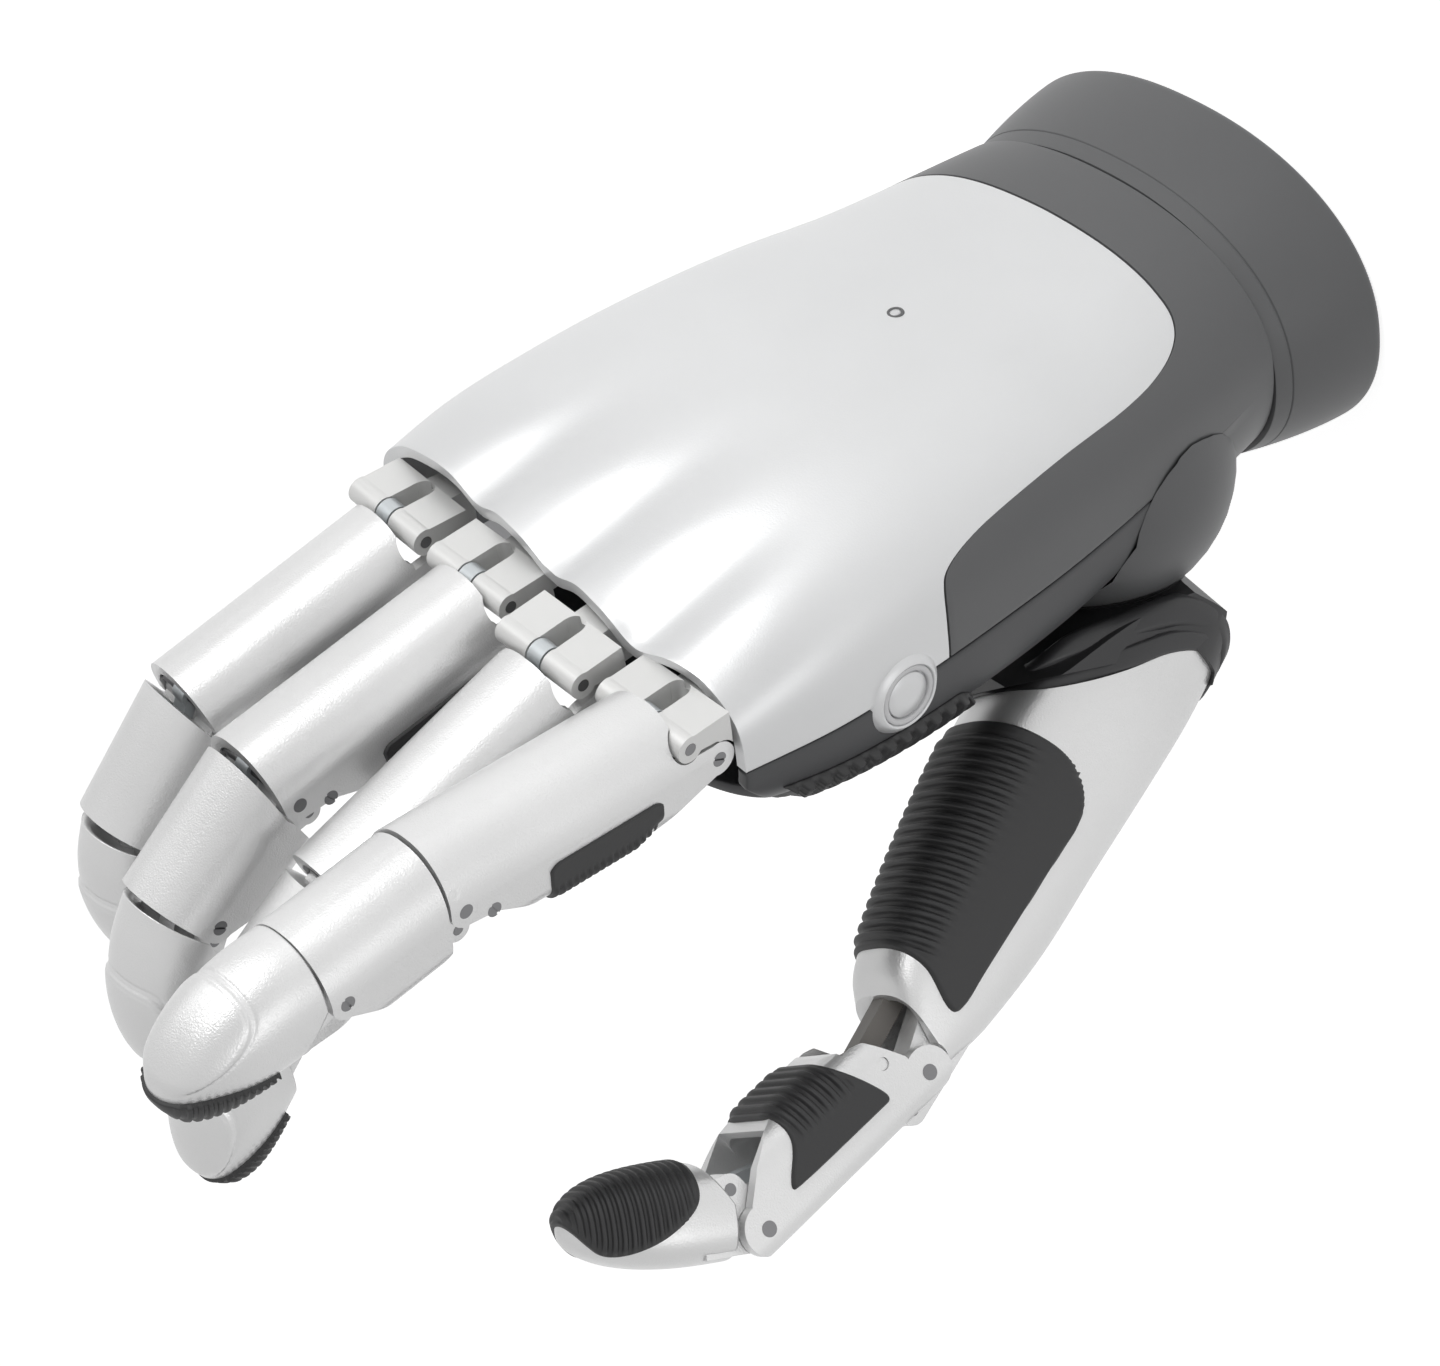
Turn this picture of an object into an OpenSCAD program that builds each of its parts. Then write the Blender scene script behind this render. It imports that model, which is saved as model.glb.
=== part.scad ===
// Dexterous robot hand, right hand, modelled upright on its wrist face.
// Z runs from the wrist to the fingertips, +Y is the palm side, -Y the back of the
// hand and -X the thumb side. Each finger has its own frame with its hinge along X:
// +Y towards its pad, +Z towards its tip, and bending turns Z towards +Y.

/* [Wrist] */
// Half width of the cuff at its rim
rim_a = 37; // [35:0.5:41]
// Half depth of the cuff at its rim
rim_b = 26.5; // [25:0.5:30]
// Half width of the hand at the wrist seam
neck_a = 33.5; // [31:0.5:36]
// Half depth of the hand at the wrist seam
neck_b = 23.3; // [21:0.1:25]
// Length of the cuff, from the wrist face to the seam
cuff_len = 19; // [16:0.5:24]
// Thickness of the mounting flange
flange_t = 4; // [3:0.5:6]
// Radius of the pilot bore in the flange
pilot_r = 8; // [6:0.5:10]
// Diameter of the wrist bolt circle
bolt_pcd = 30; // [28:0.5:33]
// Radius of the wrist bolt holes
bolt_hole_r = 2.25; // [1.6:0.05:2.8]
// Number of wrist bolts
bolt_count = 4; // [3:1:6]

/* [Palm] */
// Length of the palm from the wrist seam to the knuckle edge
palm_len = 106; // [100:1:112]
// Greatest half width of the palm
palm_a = 44; // [43.5:0.5:48]
// Height of the back of the hand above its middle plane
back_h = 22.5; // [21:0.5:26]
// Depth of the palm side below the middle plane
palm_h = 26; // [24:0.5:29]
// Middle plane of the palm, as a y value
mid_y = -3; // [-4:0.5:-2]
// Thickness of the casings
shell_t = 1.8; // [1.4:0.1:2.4]
// Seam between neighbouring casings
seam = 0.4; // [0.3:0.1:0.6]
// Thickness of the rubber pad on the palm
palm_pad_t = 1.5; // [1:0.1:2.2]
// Half width of the spine plate
spine_a = 27; // [24:0.5:29]
// Thickness of the spine plate
spine_t = 3.5; // [2.5:0.5:5]
// Radius of a finger motor
motor_r = 5.2; // [4.5:0.1:5.8]
// Length of a finger motor
motor_len = 46; // [42:1:52]
// Thickness of the control board
board_t = 1.6; // [1:0.2:2.4]

/* [Button and light] */
// Distance of the power button past the cowl's edge
button_lead = 8.9; // [8:0.1:11]
// Place of the power button across the hand's edge, as a y value
button_y = 1.5; // [0:0.5:3]
// Radius of the power button
button_r = 3.6; // [3:0.1:4]
// Travel of the power button
button_travel = 1; // [0.6:0.1:1.4]
// Outer radius of the button's bezel
bezel_r = 6.4; // [6:0.1:7]
// Radius of the status light
light_r = 1.2; // [0.8:0.1:1.8]
// Height of the status light above the wrist face
light_z = 64; // [56:0.5:72]

/* [Fingers] */
// Width of a finger
finger_w = 17; // [16:0.1:17.6]
// Wall of a finger's shells
finger_wall = 2; // [1.6:0.1:2.2]
// Length of the first phalanx, hinge to hinge
prox_len = 43.5; // [40:0.5:47]
// Length of the second phalanx, hinge to hinge
mid_len = 20; // [18.5:0.5:23]
// Length of the fingertip past its hinge
tip_len = 25.5; // [23:0.5:28]
// Lengths of the little finger against the others
little_scale = 0.93; // [0.88:0.01:1]
// Thickness of the rubber pads on the fingers
pad_t = 0.9; // [0.5:0.1:1.2]
// Radius of the hinge pins
pin_r = 0.9; // [0.7:0.05:1]
// Running clearance round a pin
pin_fit = 0.04; // [0.02:0.01:0.08]
// Clearance between parts that turn past each other
turn_gap = 0.35; // [0.25:0.05:0.45]
// Width of the linkage bars
link_w = 2.8; // [2.2:0.1:3.2]
// Half height of the linkage bars
link_h = 0.9; // [0.7:0.05:1]

/* [Knuckles] */
// Knuckle hinge across the hand for index, middle, ring and little finger
knuckle_x = [-29.8, -10.6, 10.3, 31.7]; // [-31:0.1:33]
// Knuckle hinge as a y value
knuckle_y = [-4.8, -6.4, -5.4, -4]; // [-7:0.1:-3]
// Knuckle hinge height above the wrist face
knuckle_z = [130.7, 132, 127.6, 125.5]; // [125:0.1:133]
// Spread of each finger in degrees
splay = [0, 2.2, 2.6, 5]; // [-1:0.1:6]
// Roll of each finger about its own length in degrees
roll = [-2.5, -1.5, 0, 0]; // [-3:0.5:1]
// Lean of each knuckle block in degrees
lean = [-1.6, -5.5, -3.2, 0]; // [-6:0.1:2]
// Bend of the knuckle at rest in degrees
bend_mcp = [-5, 14, 6.5, 13]; // [-6:0.5:15]
// Bend of the second joint at rest in degrees
bend_pip = [10, 16, 28, 33]; // [8:1:34]
// Bend of the end joint at rest in degrees
bend_dip = [-6, 11, 20, 23]; // [-7:1:24]

/* [Thumb] */
// Middle of the thumb's swivel seam
swivel_at = [-23.5, 23, 46]; // [-25:0.5:48]
// Radius of the swivel seam
swivel_r = 13.5; // [13:0.5:15]
// Turn of the swivel axis away from +Y towards -X in degrees
swivel_turn = 16; // [12:1:20]
// Lift of the swivel axis towards +Z in degrees
swivel_lift = 8; // [5:1:11]
// First hinge of the thumb
thumb_at = [-51.2, 56.2, 117]; // [-52:0.1:118]
// Turn of the thumb's frame about Z in degrees
thumb_turn = -143; // [-145:0.5:-141]
// Lean of the thumb's metacarpal away from Z in degrees
thumb_lean = 33; // [31:0.5:35]
// Bend of the thumb's first hinge at rest in degrees
thumb_bend_mcp = 25; // [20:1:28]
// Bend of the thumb's end hinge at rest in degrees
thumb_bend_ip = 32; // [28:1:35]
// Length of the metacarpal from its first hinge back to its upper end
meta_len = 58; // [56:0.5:60]
// Length of the thumb's first phalanx, hinge to hinge
thumb_prox_len = 33.5; // [32:0.5:36]
// Length of the thumb's tip past its hinge
thumb_tip_len = 30.5; // [28:0.5:33]
// Width of the thumb at its hinges
thumb_w = 17.5; // [16.5:0.1:18.5]
// Width of the metacarpal at its upper end
meta_w = 23; // [21:0.5:25]

/* [Hidden] */
$fn = 48;
eps = 0.01;
FINGERS = ["index", "middle", "ring", "little"];

shell_grey = [0.47, 0.47, 0.48];
dark_grey = [0.27, 0.27, 0.28];
silver = [0.82, 0.82, 0.84];
white_metal = [0.93, 0.93, 0.94];
rubber_black = [0.16, 0.16, 0.16];
link_grey = [0.62, 0.66, 0.67];
rod_brown = [0.45, 0.44, 0.42];

// ---- Curves through chosen points --------------------------------------------------
// Catmull-Rom curve through rows [place, value, value, ...], column c, at place s.
function span_at(rows, s, i = 0) =
    i >= len(rows) - 2 || s < rows[i + 1][0] ? i : span_at(rows, s, i + 1);
function slope_at(rows, i, c) =
    let (lo = max(i - 1, 0), hi = min(i + 1, len(rows) - 1))
    (rows[hi][c] - rows[lo][c]) / (rows[hi][0] - rows[lo][0]);
function curve_at(rows, s, c) =
    let (i = span_at(rows, s),
         w = rows[i + 1][0] - rows[i][0],
         t = min(max((s - rows[i][0]) / w, 0), 1))
    (2*t*t*t - 3*t*t + 1) * rows[i][c] + (t*t*t - 2*t*t + t) * w * slope_at(rows, i, c)
    + (3*t*t - 2*t*t*t) * rows[i + 1][c] + (t*t*t - t*t) * w * slope_at(rows, i + 1, c);
function arc_power(v, e) = sign(v) * pow(abs(v), e);

// ---- Outside form of the palm -------------------------------------------------------
// Share of the length, radial width, ulnar width, back height, palm depth, squareness
palm_form = [
    [0, neck_a/palm_a, neck_a/palm_a, (neck_b + mid_y)/back_h, (neck_b - mid_y)/palm_h, 2.2],
    [0.24, 0.86, 0.828, 0.854, 0.93, 2.7],
    [0.43, 0.91, 0.877, 0.954, 0.98, 3],
    [0.6, 0.935, 0.931, 0.995, 1, 3],
    [0.74, 0.945, 0.97, 0.965, 0.97, 3],
    [0.88, 0.94, 1.02, 0.819, 0.86, 3],
    [1.03, 0.895, 1.018, 0.561, 0.66, 3]];
function palm_point(t, z, inset) =
    let (s = (z - cuff_len) / palm_len,
         e = 2 / curve_at(palm_form, s, 5),
         a = palm_a * curve_at(palm_form, s, cos(t) < 0 ? 1 : 2) - inset,
         h = (sin(t) < 0 ? back_h * curve_at(palm_form, s, 3)
                         : palm_h * curve_at(palm_form, s, 4)) - inset)
    [a * arc_power(cos(t), e), mid_y + h * arc_power(sin(t), e), z];

// Casing edges, as shares of the palm's length at angles off the middle of the back
side_turn = 93;
cowl_edge = [[0, 0.109], [22, 0.114], [36, 0.121], [47, 0.134], [54, 0.165], [58.5, 0.22], [61, 0.3],
    [62.5, 0.4], [64.5, 0.5], [67, 0.59], [71, 0.65], [76, 0.675], [side_turn, 0.685]];
edge_turns = [for (row = cowl_edge) row[0]];
palm_edge = 0.274;
function cowl_top(d) = cuff_len
    + palm_len * (abs(d) <= side_turn ? curve_at(cowl_edge, abs(d), 1) : palm_edge);
// Knuckle hinge height at a place across the hand
function knuckle_at(x, v) = curve_at([for (i = [0:3]) [knuckle_x[i], v[i]]], x, 1);
back_edge_gap = 3.2;
palm_edge_gap = 9.6;
// The end edge draws back between these two sines of the turn round the palm
recede_from = 0.2;
recede_to = 0.585;
function palm_end(t) =
    let (k = knuckle_at(0.91 * palm_a * cos(t), knuckle_z),
         s = (sin(t) - recede_from) / (recede_to - recede_from))
    k - back_edge_gap - (palm_edge_gap - back_edge_gap) * min(1, max(0, s));

// Closed wall between an outer and an inner grid of points; wrap joins the ends.
module wall(outer, inner, wrap = false) {
    n = len(outer);
    m = len(outer[0]);
    points = concat([for (row = outer) each row], [for (row = inner) each row]);
    function at(i, j, k) = k * n * m + (i % n) * m + j;
    last = wrap ? n - 1 : n - 2;
    skins = [for (i = [0:last], j = [0:m - 2]) each [
        [at(i, j, 0), at(i + 1, j + 1, 0), at(i + 1, j, 0)],
        [at(i, j, 0), at(i, j + 1, 0), at(i + 1, j + 1, 0)],
        [at(i, j, 1), at(i + 1, j, 1), at(i + 1, j + 1, 1)],
        [at(i, j, 1), at(i + 1, j + 1, 1), at(i, j + 1, 1)]]];
    rims = [for (i = [0:last]) each [
        [at(i, 0, 0), at(i + 1, 0, 1), at(i, 0, 1)],
        [at(i, 0, 0), at(i + 1, 0, 0), at(i + 1, 0, 1)],
        [at(i, m - 1, 0), at(i, m - 1, 1), at(i + 1, m - 1, 1)],
        [at(i, m - 1, 0), at(i + 1, m - 1, 1), at(i + 1, m - 1, 0)]]];
    ends = wrap ? [] : [for (j = [0:m - 2]) each [
        [at(0, j, 0), at(0, j, 1), at(0, j + 1, 1)],
        [at(0, j, 0), at(0, j + 1, 1), at(0, j + 1, 0)],
        [at(n - 1, j, 0), at(n - 1, j + 1, 1), at(n - 1, j, 1)],
        [at(n - 1, j, 0), at(n - 1, j + 1, 0), at(n - 1, j + 1, 1)]]];
    polyhedron(points, concat(skins, rims, ends), convexity = 6);
}
function palm_grid(turns, low, high, steps, inset) = [for (i = [0:len(turns) - 1])
    [for (j = [0:steps]) palm_point(turns[i] - 90, low[i] + (high[i] - low[i]) * j / steps,
        inset)]];
module palm_wall(turns, low, high, steps, out, in, wrap = false)
    wall(palm_grid(turns, low, high, steps, out), palm_grid(turns, low, high, steps, in), wrap);

// ---- Building blocks of the fingers --------------------------------------------------
// Outline in a finger's side view, as [z, y] points, drawn across the finger.
module across(points, half_w)
    rotate([0, -90, 0]) linear_extrude(2 * half_w, center = true) polygon(points);
module disc(at, r, half_w, x = 0)
    translate([x, at[0], at[1]]) rotate([0, 90, 0]) cylinder(r = r, h = 2 * half_w, center = true);
// Length along the finger with a rounded cross-section between y0 and y1.
module bar(half_w, y0, y1, z0, z1, r_back, r_pad)
    translate([0, 0, z0]) linear_extrude(z1 - z0) {
        for (s = [-1, 1]) {
            translate([s * (half_w - r_back), y0 + r_back]) circle(r = r_back);
            translate([s * (half_w - r_pad), y1 - r_pad]) circle(r = r_pad);
        }
        translate([-half_w, y0 + r_back]) square([2 * half_w, y1 - r_pad - y0 - r_back]);
        translate([-half_w + r_back, y0]) square([max(eps, 2 * (half_w - r_back)), r_back + 1]);
        translate([-half_w + r_pad, y1 - r_pad - 1]) square([2 * (half_w - r_pad), r_pad + 1]);
    }
// Point [y, z] turned by a bend of the joint at the frame's origin.
function bent(p, angle) = [p[0] * cos(angle) + p[1] * sin(angle),
    -p[0] * sin(angle) + p[1] * cos(angle)];
// Linkage bar from one point to another, with an eye at each end and a bore at the first.
module link_bar(from, to, eye0, eye1, half_h, half_w, bore)
    difference() {
        union() {
            disc(from, eye0, half_w);
            disc(to, eye1, half_w);
            length = norm(to - from);
            translate([0, from[0], from[1]]) rotate([-atan2(to[0] - from[0], to[1] - from[1]), 0, 0])
                translate([-half_w, -half_h, 0]) cube([2 * half_w, 2 * half_h, length]);
        }
        disc(from, bore, half_w + 1);
    }

half_w = finger_w / 2;
inner_w = half_w - finger_wall;
tongue_w = inner_w - turn_gap / 2;
cheek_w = link_w / 2 + turn_gap;
bore_r = pin_r + pin_fit;
hinge_eye = 2.6;
barrel_r = 2.1;
block_pin = [-5, 4.5];
block_top = -6.9;
block_back = -2.6;
stem_back = -7;
stem_w = tongue_w - 3.2;
lug = [4.6, 0.8];
tip_lug = [1.9, 3.4];
tip_anchor = [-3.3, 1.2];
cross_screw = [2.5, -4.5];
lug_eye = 1.9;
shell_lip = 2.4;
back_y = -half_w;
pad_y = 7.4;
// Least bend of the middle and end joints over their travel, in degrees
least_pip = [10, 0, 20, 17];
least_dip = [0, 0, 13.5, 10.5];

module at_knuckle(i)
    translate([knuckle_x[i], knuckle_y[i], knuckle_z[i]])
        rotate([0, splay[i], 0]) rotate([0, 0, roll[i]]) rotate([lean[i], 0, 0]) children();
function long(i, v) = i == 3 ? v * little_scale : v;
module at_prox(i) at_knuckle(i) rotate([-bend_mcp[i], 0, 0]) children();
module at_mid(i) at_prox(i) translate([0, 0, long(i, prox_len)]) rotate([-bend_pip[i], 0, 0]) children();
module at_dist(i) at_mid(i) translate([0, 0, long(i, mid_len)]) rotate([-bend_dip[i], 0, 0]) children();

// ---- Knuckle blocks: fixed to the frame, slotted for the drive link ------------------
module knuckle_block() difference() {
    union() {
        difference() {
            union() {
                disc(block_pin, barrel_r, half_w);
                across([[block_back, block_top], [block_pin[1], block_top],
                    [block_pin[1] + barrel_r * 0.8, block_pin[0]], [block_pin[1], block_pin[0] + barrel_r * 0.5],
                    [0, -hinge_eye - 2 * turn_gap], [block_back, -1]], half_w);
            }
            disc([0, 0], hinge_eye + turn_gap, half_w + 1);
        }
        disc([0, 0], hinge_eye - 0.2, tongue_w);
        across([[block_back - 0.4, -4.5], [3, -4.5], [2, 1.6], [block_back - 0.4, 1.6]], tongue_w);
        across([[stem_back, -5.5], [block_back, -5.5], [block_back, 1.6], [stem_back, 1.6]], stem_w);
    }
    translate([-cheek_w, block_pin[0] - 3, -1]) cube([2 * cheek_w, 12, 12]);
    translate([0, block_pin[0] + 7, -1]) rotate([90, 0, 0])
        cylinder(r = cheek_w - 0.05, h = 10);
    disc(block_pin, bore_r, half_w + 1);
    disc([0, 0], bore_r, half_w + 1);
}
module knuckle_blocks() color(white_metal) for (i = [0:3]) at_knuckle(i) knuckle_block();
module knuckle_pins() color(dark_grey) for (i = [0:3]) at_knuckle(i) disc(block_pin, pin_r, half_w);

// ---- First phalanx -------------------------------------------------------------------
function prox_side(n) = [[-0.5, -hinge_eye + 0.1], [6.4, -hinge_eye], [6.2, block_pin[0]],
    [5.4, back_y - 1], [n + shell_lip, back_y - 1], [n + shell_lip, 0.4],
    [n + 0.8, shell_lip], [n - 5, 3], [n - 13, 6.8], [n - 16, pad_y], [15, pad_y],
    [0.5, hinge_eye - 0.1]];
module prox_outer(n) intersection() {
    bar(half_w, back_y, pad_y, -hinge_eye - 1, n + shell_lip, half_w - 0.5, 3);
    union() {
        across(prox_side(n), half_w + 1);
        disc([0, 0], hinge_eye, half_w + 1);
        disc([0, n], shell_lip, half_w + 1);
    }
}
module proximal(i) {
    n = long(i, prox_len);
    color(silver) at_prox(i) difference() {
        prox_outer(n);
        bar(inner_w, back_y + finger_wall, pad_y - finger_wall, 4, n + 5, inner_w - 0.5, 1.5);
        translate([-inner_w, -4.2, -5]) cube([2 * inner_w, 20, 14.5]);
        translate([-inner_w, -2.9, n - 7.2]) cube([2 * inner_w, 12, 12]);
        disc(bent(block_pin, max(0, -bend_mcp[i])), barrel_r + turn_gap, half_w + 1);
        for (at = [[0, 0], [0, n], [tip_anchor[0], n + tip_anchor[1]],
            [cross_screw[0], n + cross_screw[1]]]) disc(at, bore_r, half_w + 1);
    }
}
module pad_wrap(half, y1, z0, z1, y_edge, r) difference() {
    intersection() {
        bar(half + pad_t * 0.5, -4, y1 + pad_t, z0, z1, 2, r);
        translate([-half - 2, y_edge, z0]) cube([2 * half + 4, y1 + 4, z1 - z0]);
    }
    bar(half + eps, -5, y1 + eps, z0 - 1, z1 + 1, 1, r);
}
module proximal_pad(i) {
    n = long(i, prox_len);
    color(rubber_black) at_prox(i) pad_wrap(half_w, pad_y, 15.2, n - 14.4, 2, 3);
}
// Stub screws of both hinges, the tip link's anchor pin and the cross screw
module prox_pins(i) {
    n = long(i, prox_len);
    stub = (half_w - cheek_w) / 2;
    color(dark_grey) at_prox(i) {
        for (s = [-1, 1], z = [0, n]) disc([0, z], pin_r, stub, s * (cheek_w + stub));
        disc([tip_anchor[0], n + tip_anchor[1]], pin_r, half_w);
        disc([cross_screw[0], n + cross_screw[1]], pin_r, finger_wall / 2, -half_w + finger_wall / 2);
        disc([cross_screw[0], n + cross_screw[1]], pin_r, finger_wall / 2, half_w - finger_wall / 2);
    }
}

// ---- Second phalanx ------------------------------------------------------------------
module tongue(eye_at, neck_to) difference() {
    union() {
        disc([0, 0], shell_lip - 0.1, tongue_w);
        disc(eye_at, lug_eye, tongue_w);
        across([[0, -1.6], [neck_to, -1.6], [neck_to, 4.4], [eye_at[1], eye_at[0] + lug_eye * 0.9],
            [eye_at[1] - lug_eye * 0.7, eye_at[0]], [-1.6, 0.6]], tongue_w);
    }
    translate([-cheek_w, -12, -6]) cube([2 * cheek_w, 24, neck_to + 20]);
    disc([0, 0], bore_r, half_w);
}
// lead is how far the back edge reaches past the joint at its least bend, and slack how far
// the far edge is set in for a joint that bends backwards
function mid_side(n, lead, slack) = [[shell_lip + turn_gap - lead, back_y - 1],
    [n + shell_lip - slack, back_y - 1], [n + shell_lip, 0.4], [n + 0.6, 2.2], [n - 6, 6.2],
    [shell_lip + 4, pad_y - 0.4], [shell_lip + 1.2, 5.2], [shell_lip + turn_gap, 1.5],
    [shell_lip + turn_gap, -0.4]];
neck = shell_lip + turn_gap + 2;
module link_slot(to) translate([-cheek_w, back_y + finger_wall, -1])
    cube([2 * cheek_w, pad_y - back_y - 2 * finger_wall, to + 1]);
module middle_phalanx(i) {
    n = long(i, mid_len);
    color(silver) at_mid(i) {
        difference() {
            union() {
                difference() {
                    intersection() {
                        bar(half_w, back_y, pad_y, -2, n + shell_lip, half_w - 0.5, 3);
                        union() {
                            across(mid_side(n, half_w * tan(least_pip[i]),
                                half_w * tan(max(0, -bend_dip[i]))), half_w + 1);
                            disc([0, n], shell_lip, half_w + 1);
                        }
                    }
                    bar(inner_w, back_y + finger_wall, pad_y - finger_wall, neck, n + 5,
                        inner_w - 0.5, 1.5);
                    translate([-inner_w, -2.9, n - 5.6]) cube([2 * inner_w, 12, 12]);
                    link_slot(neck + 1);
                }
                tongue(lug, neck);
            }
            for (s = [-1, 1]) disc([0, n], bore_r, half_w, s * half_w);
            disc(lug, bore_r - 0.1, half_w + 1);
        }
        for (s = [-1, 1]) disc(lug, pin_r - 0.1, (tongue_w - cheek_w) / 2, s * (tongue_w + cheek_w) / 2);
    }
}

// ---- Fingertip -----------------------------------------------------------------------
tip_w = half_w - 0.4;
function tip_side(n, lead) = [[shell_lip + turn_gap - lead, back_y - 1], [6, back_y + 0.4],
    [n - 11, -5.4], [n - 4, -2.4], [n - 1.2, 0.2], [n, 3.2], [n - 1, 5.6], [n - 5, pad_y - 0.6],
    [9, pad_y], [5.5, 5.2], [shell_lip + turn_gap, 1.5], [shell_lip + turn_gap, -0.4]];
module tip_outer(n, lead) intersection() {
    bar(tip_w, back_y, pad_y, -2, n, tip_w - 0.5, 3);
    across(tip_side(n, lead), half_w + 1);
    union() {
        translate([-half_w, -15, 0]) cube([finger_w, 30, n - tip_w]);
        translate([0, 0, n - tip_w]) rotate([90, 0, 0]) cylinder(r = tip_w, h = 40, center = true);
    }
}
module distal(i) {
    n = long(i, tip_len);
    color(silver) at_dist(i) union() {
        difference() {
            tip_outer(n, half_w * tan(least_dip[i]));
            link_slot(6.4);
        }
        tongue_tip();
    }
}
module tongue_tip() {
    difference() {
        union() {
            disc([0, 0], shell_lip - 0.1, tongue_w);
            disc(tip_lug, lug_eye, tongue_w);
            across([[0, -1.6], [6, -1.6], [6, 3.8], [tip_lug[1], tip_lug[0] + lug_eye],
                [-1.2, 1.6]], tongue_w);
        }
        translate([-cheek_w, -12, -6]) cube([2 * cheek_w, 24, 30]);
    }
    for (s = [-1, 1]) disc([0, 0], pin_r, (half_w - cheek_w - 0.5) / 2, s * (cheek_w + 0.5 + half_w) / 2);
}
module tip_pad(i) {
    n = long(i, tip_len);
    color(rubber_black) at_dist(i) difference() {
        intersection() {
            translate([0, pad_t, 0]) tip_outer(n, 0);
            translate([-half_w, 4.6, 9.5]) cube([finger_w, 10, n]);
        }
        translate([0, eps, 0]) tip_outer(n, 0);
    }
}

// ---- Coupling links ------------------------------------------------------------------
module drive_link(i) {
    n = long(i, prox_len);
    far = bent([0, n] + bent(lug, bend_pip[i]), bend_mcp[i]);
    color(link_grey) at_knuckle(i)
        link_bar(block_pin, far, barrel_r, lug_eye - 0.3, link_h, link_w / 2, bore_r);
}
module tip_link(i) {
    n = long(i, mid_len);
    far = bent([0, n] + bent(tip_lug, bend_dip[i]), bend_pip[i]);
    color(link_grey) at_prox(i) translate([0, 0, long(i, prox_len)])
        link_bar(tip_anchor, far, 1.7, lug_eye - 0.3, link_h, link_w / 2, bore_r);
}

// ---- Thumb ---------------------------------------------------------------------------
// Swivel frame: +Z along the swivel axis, out of the palm.
module at_swivel() translate(swivel_at) rotate([0, 0, swivel_turn])
    rotate([-(90 - swivel_lift), 0, 0]) children();
// Metacarpal's frame: origin at its first hinge, +Y to the pad side, +Z to the tip.
module at_meta() translate(thumb_at) rotate([0, 0, thumb_turn]) rotate([thumb_lean, 0, 0]) children();
module at_tprox() at_meta() rotate([-thumb_bend_mcp, 0, 0]) children();
module at_tdist() at_tprox() translate([0, 0, thumb_prox_len]) rotate([-thumb_bend_ip, 0, 0]) children();

thumb_half = thumb_w / 2;
thumb_in = thumb_half - finger_wall;
thumb_tongue = thumb_in - turn_gap / 2;
thumb_eye = 3.8;
thumb_back = -3.8;
meta_lug = [-0.7, 5.4];
thumb_tip_lug = [6, 4];
rod_pin = [5.6, 5];
rod_nut = [2, -34];
rod_half = 1.6;
root_rise = 17;
root_wall = 2.2;
root_sphere = norm([swivel_r, root_rise]);
shaft_r = 6.5;
collar_r = 8.5;
plate_t = 3;
far_up = 60;

module root_ball(r, top) hull() intersection() {
    translate([0, 0, -root_rise]) sphere(r);
    translate([0, 0, top - far_up]) cylinder(r = far_up, h = far_up);
}
module palm_body(grow) {
    turns = [for (d = [-180:15:165]) d];
    steps = 12;
    low = cuff_len;
    high = knuckle_z[0] - 12;
    grid = [for (d = turns) [for (j = [0:steps])
        palm_point(d - 90, low + (high - low) * j / steps, -grow)]];
    n = len(turns);
    points = concat([for (row = grid) each row], [[0, 0, low], [0, 0, high]]);
    function at(i, j) = (i % n) * (steps + 1) + j;
    polyhedron(points, [for (i = [0:n - 1]) each concat(
        [for (j = [0:steps - 1]) each [[at(i, j), at(i + 1, j + 1), at(i + 1, j)],
            [at(i, j), at(i, j + 1), at(i + 1, j + 1)]]],
        [[n * (steps + 1), at(i, 0), at(i + 1, 0)],
         [n * (steps + 1) + 1, at(i + 1, steps), at(i, steps)]])]);
}
module thumb_root_cover() color(shell_grey) difference() {
    at_swivel() difference() {
        root_ball(root_sphere, 0);
        root_ball(root_sphere - root_wall, -plate_t);
        translate([0, 0, -plate_t - 1]) cylinder(r = shaft_r + pin_fit, h = plate_t + 2);
    }
    palm_body(seam);
}

// Metacarpal outline as [z, y], with its upper end cut on a slant
top_pad = [2 - meta_len, 9.3];
top_back = [-meta_len - 16, -14];
top_slope = (top_pad - top_back) / norm(top_pad - top_back);
top_out = [-top_slope[1], top_slope[0]];
meta_pad_y = 11.2;
meta_side = [top_pad, [-50, 10.4], [-32, meta_pad_y], [-17, meta_pad_y], [-8, 7.8], [-4.6, 3],
    [-2, thumb_back], [-9, -7.6], [-26, -13], [-41, -16], [2 - meta_len, -19],
    [-meta_len - 11, -21.3], [-meta_len - 15, -19], top_back];
meta_half = meta_w / 2;
module meta_outer(grow = 0) intersection() {
    across(meta_side, meta_half + 1);
    hull() {
        translate([0, 0, -2]) bar(thumb_half + grow, -22, meta_pad_y + grow, -2, 0, 7, 6.5);
        translate([0, 0, -80]) bar(meta_half + 1.6 + grow, -22, meta_pad_y + grow, -2, 0, 9, 10);
    }
}
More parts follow.
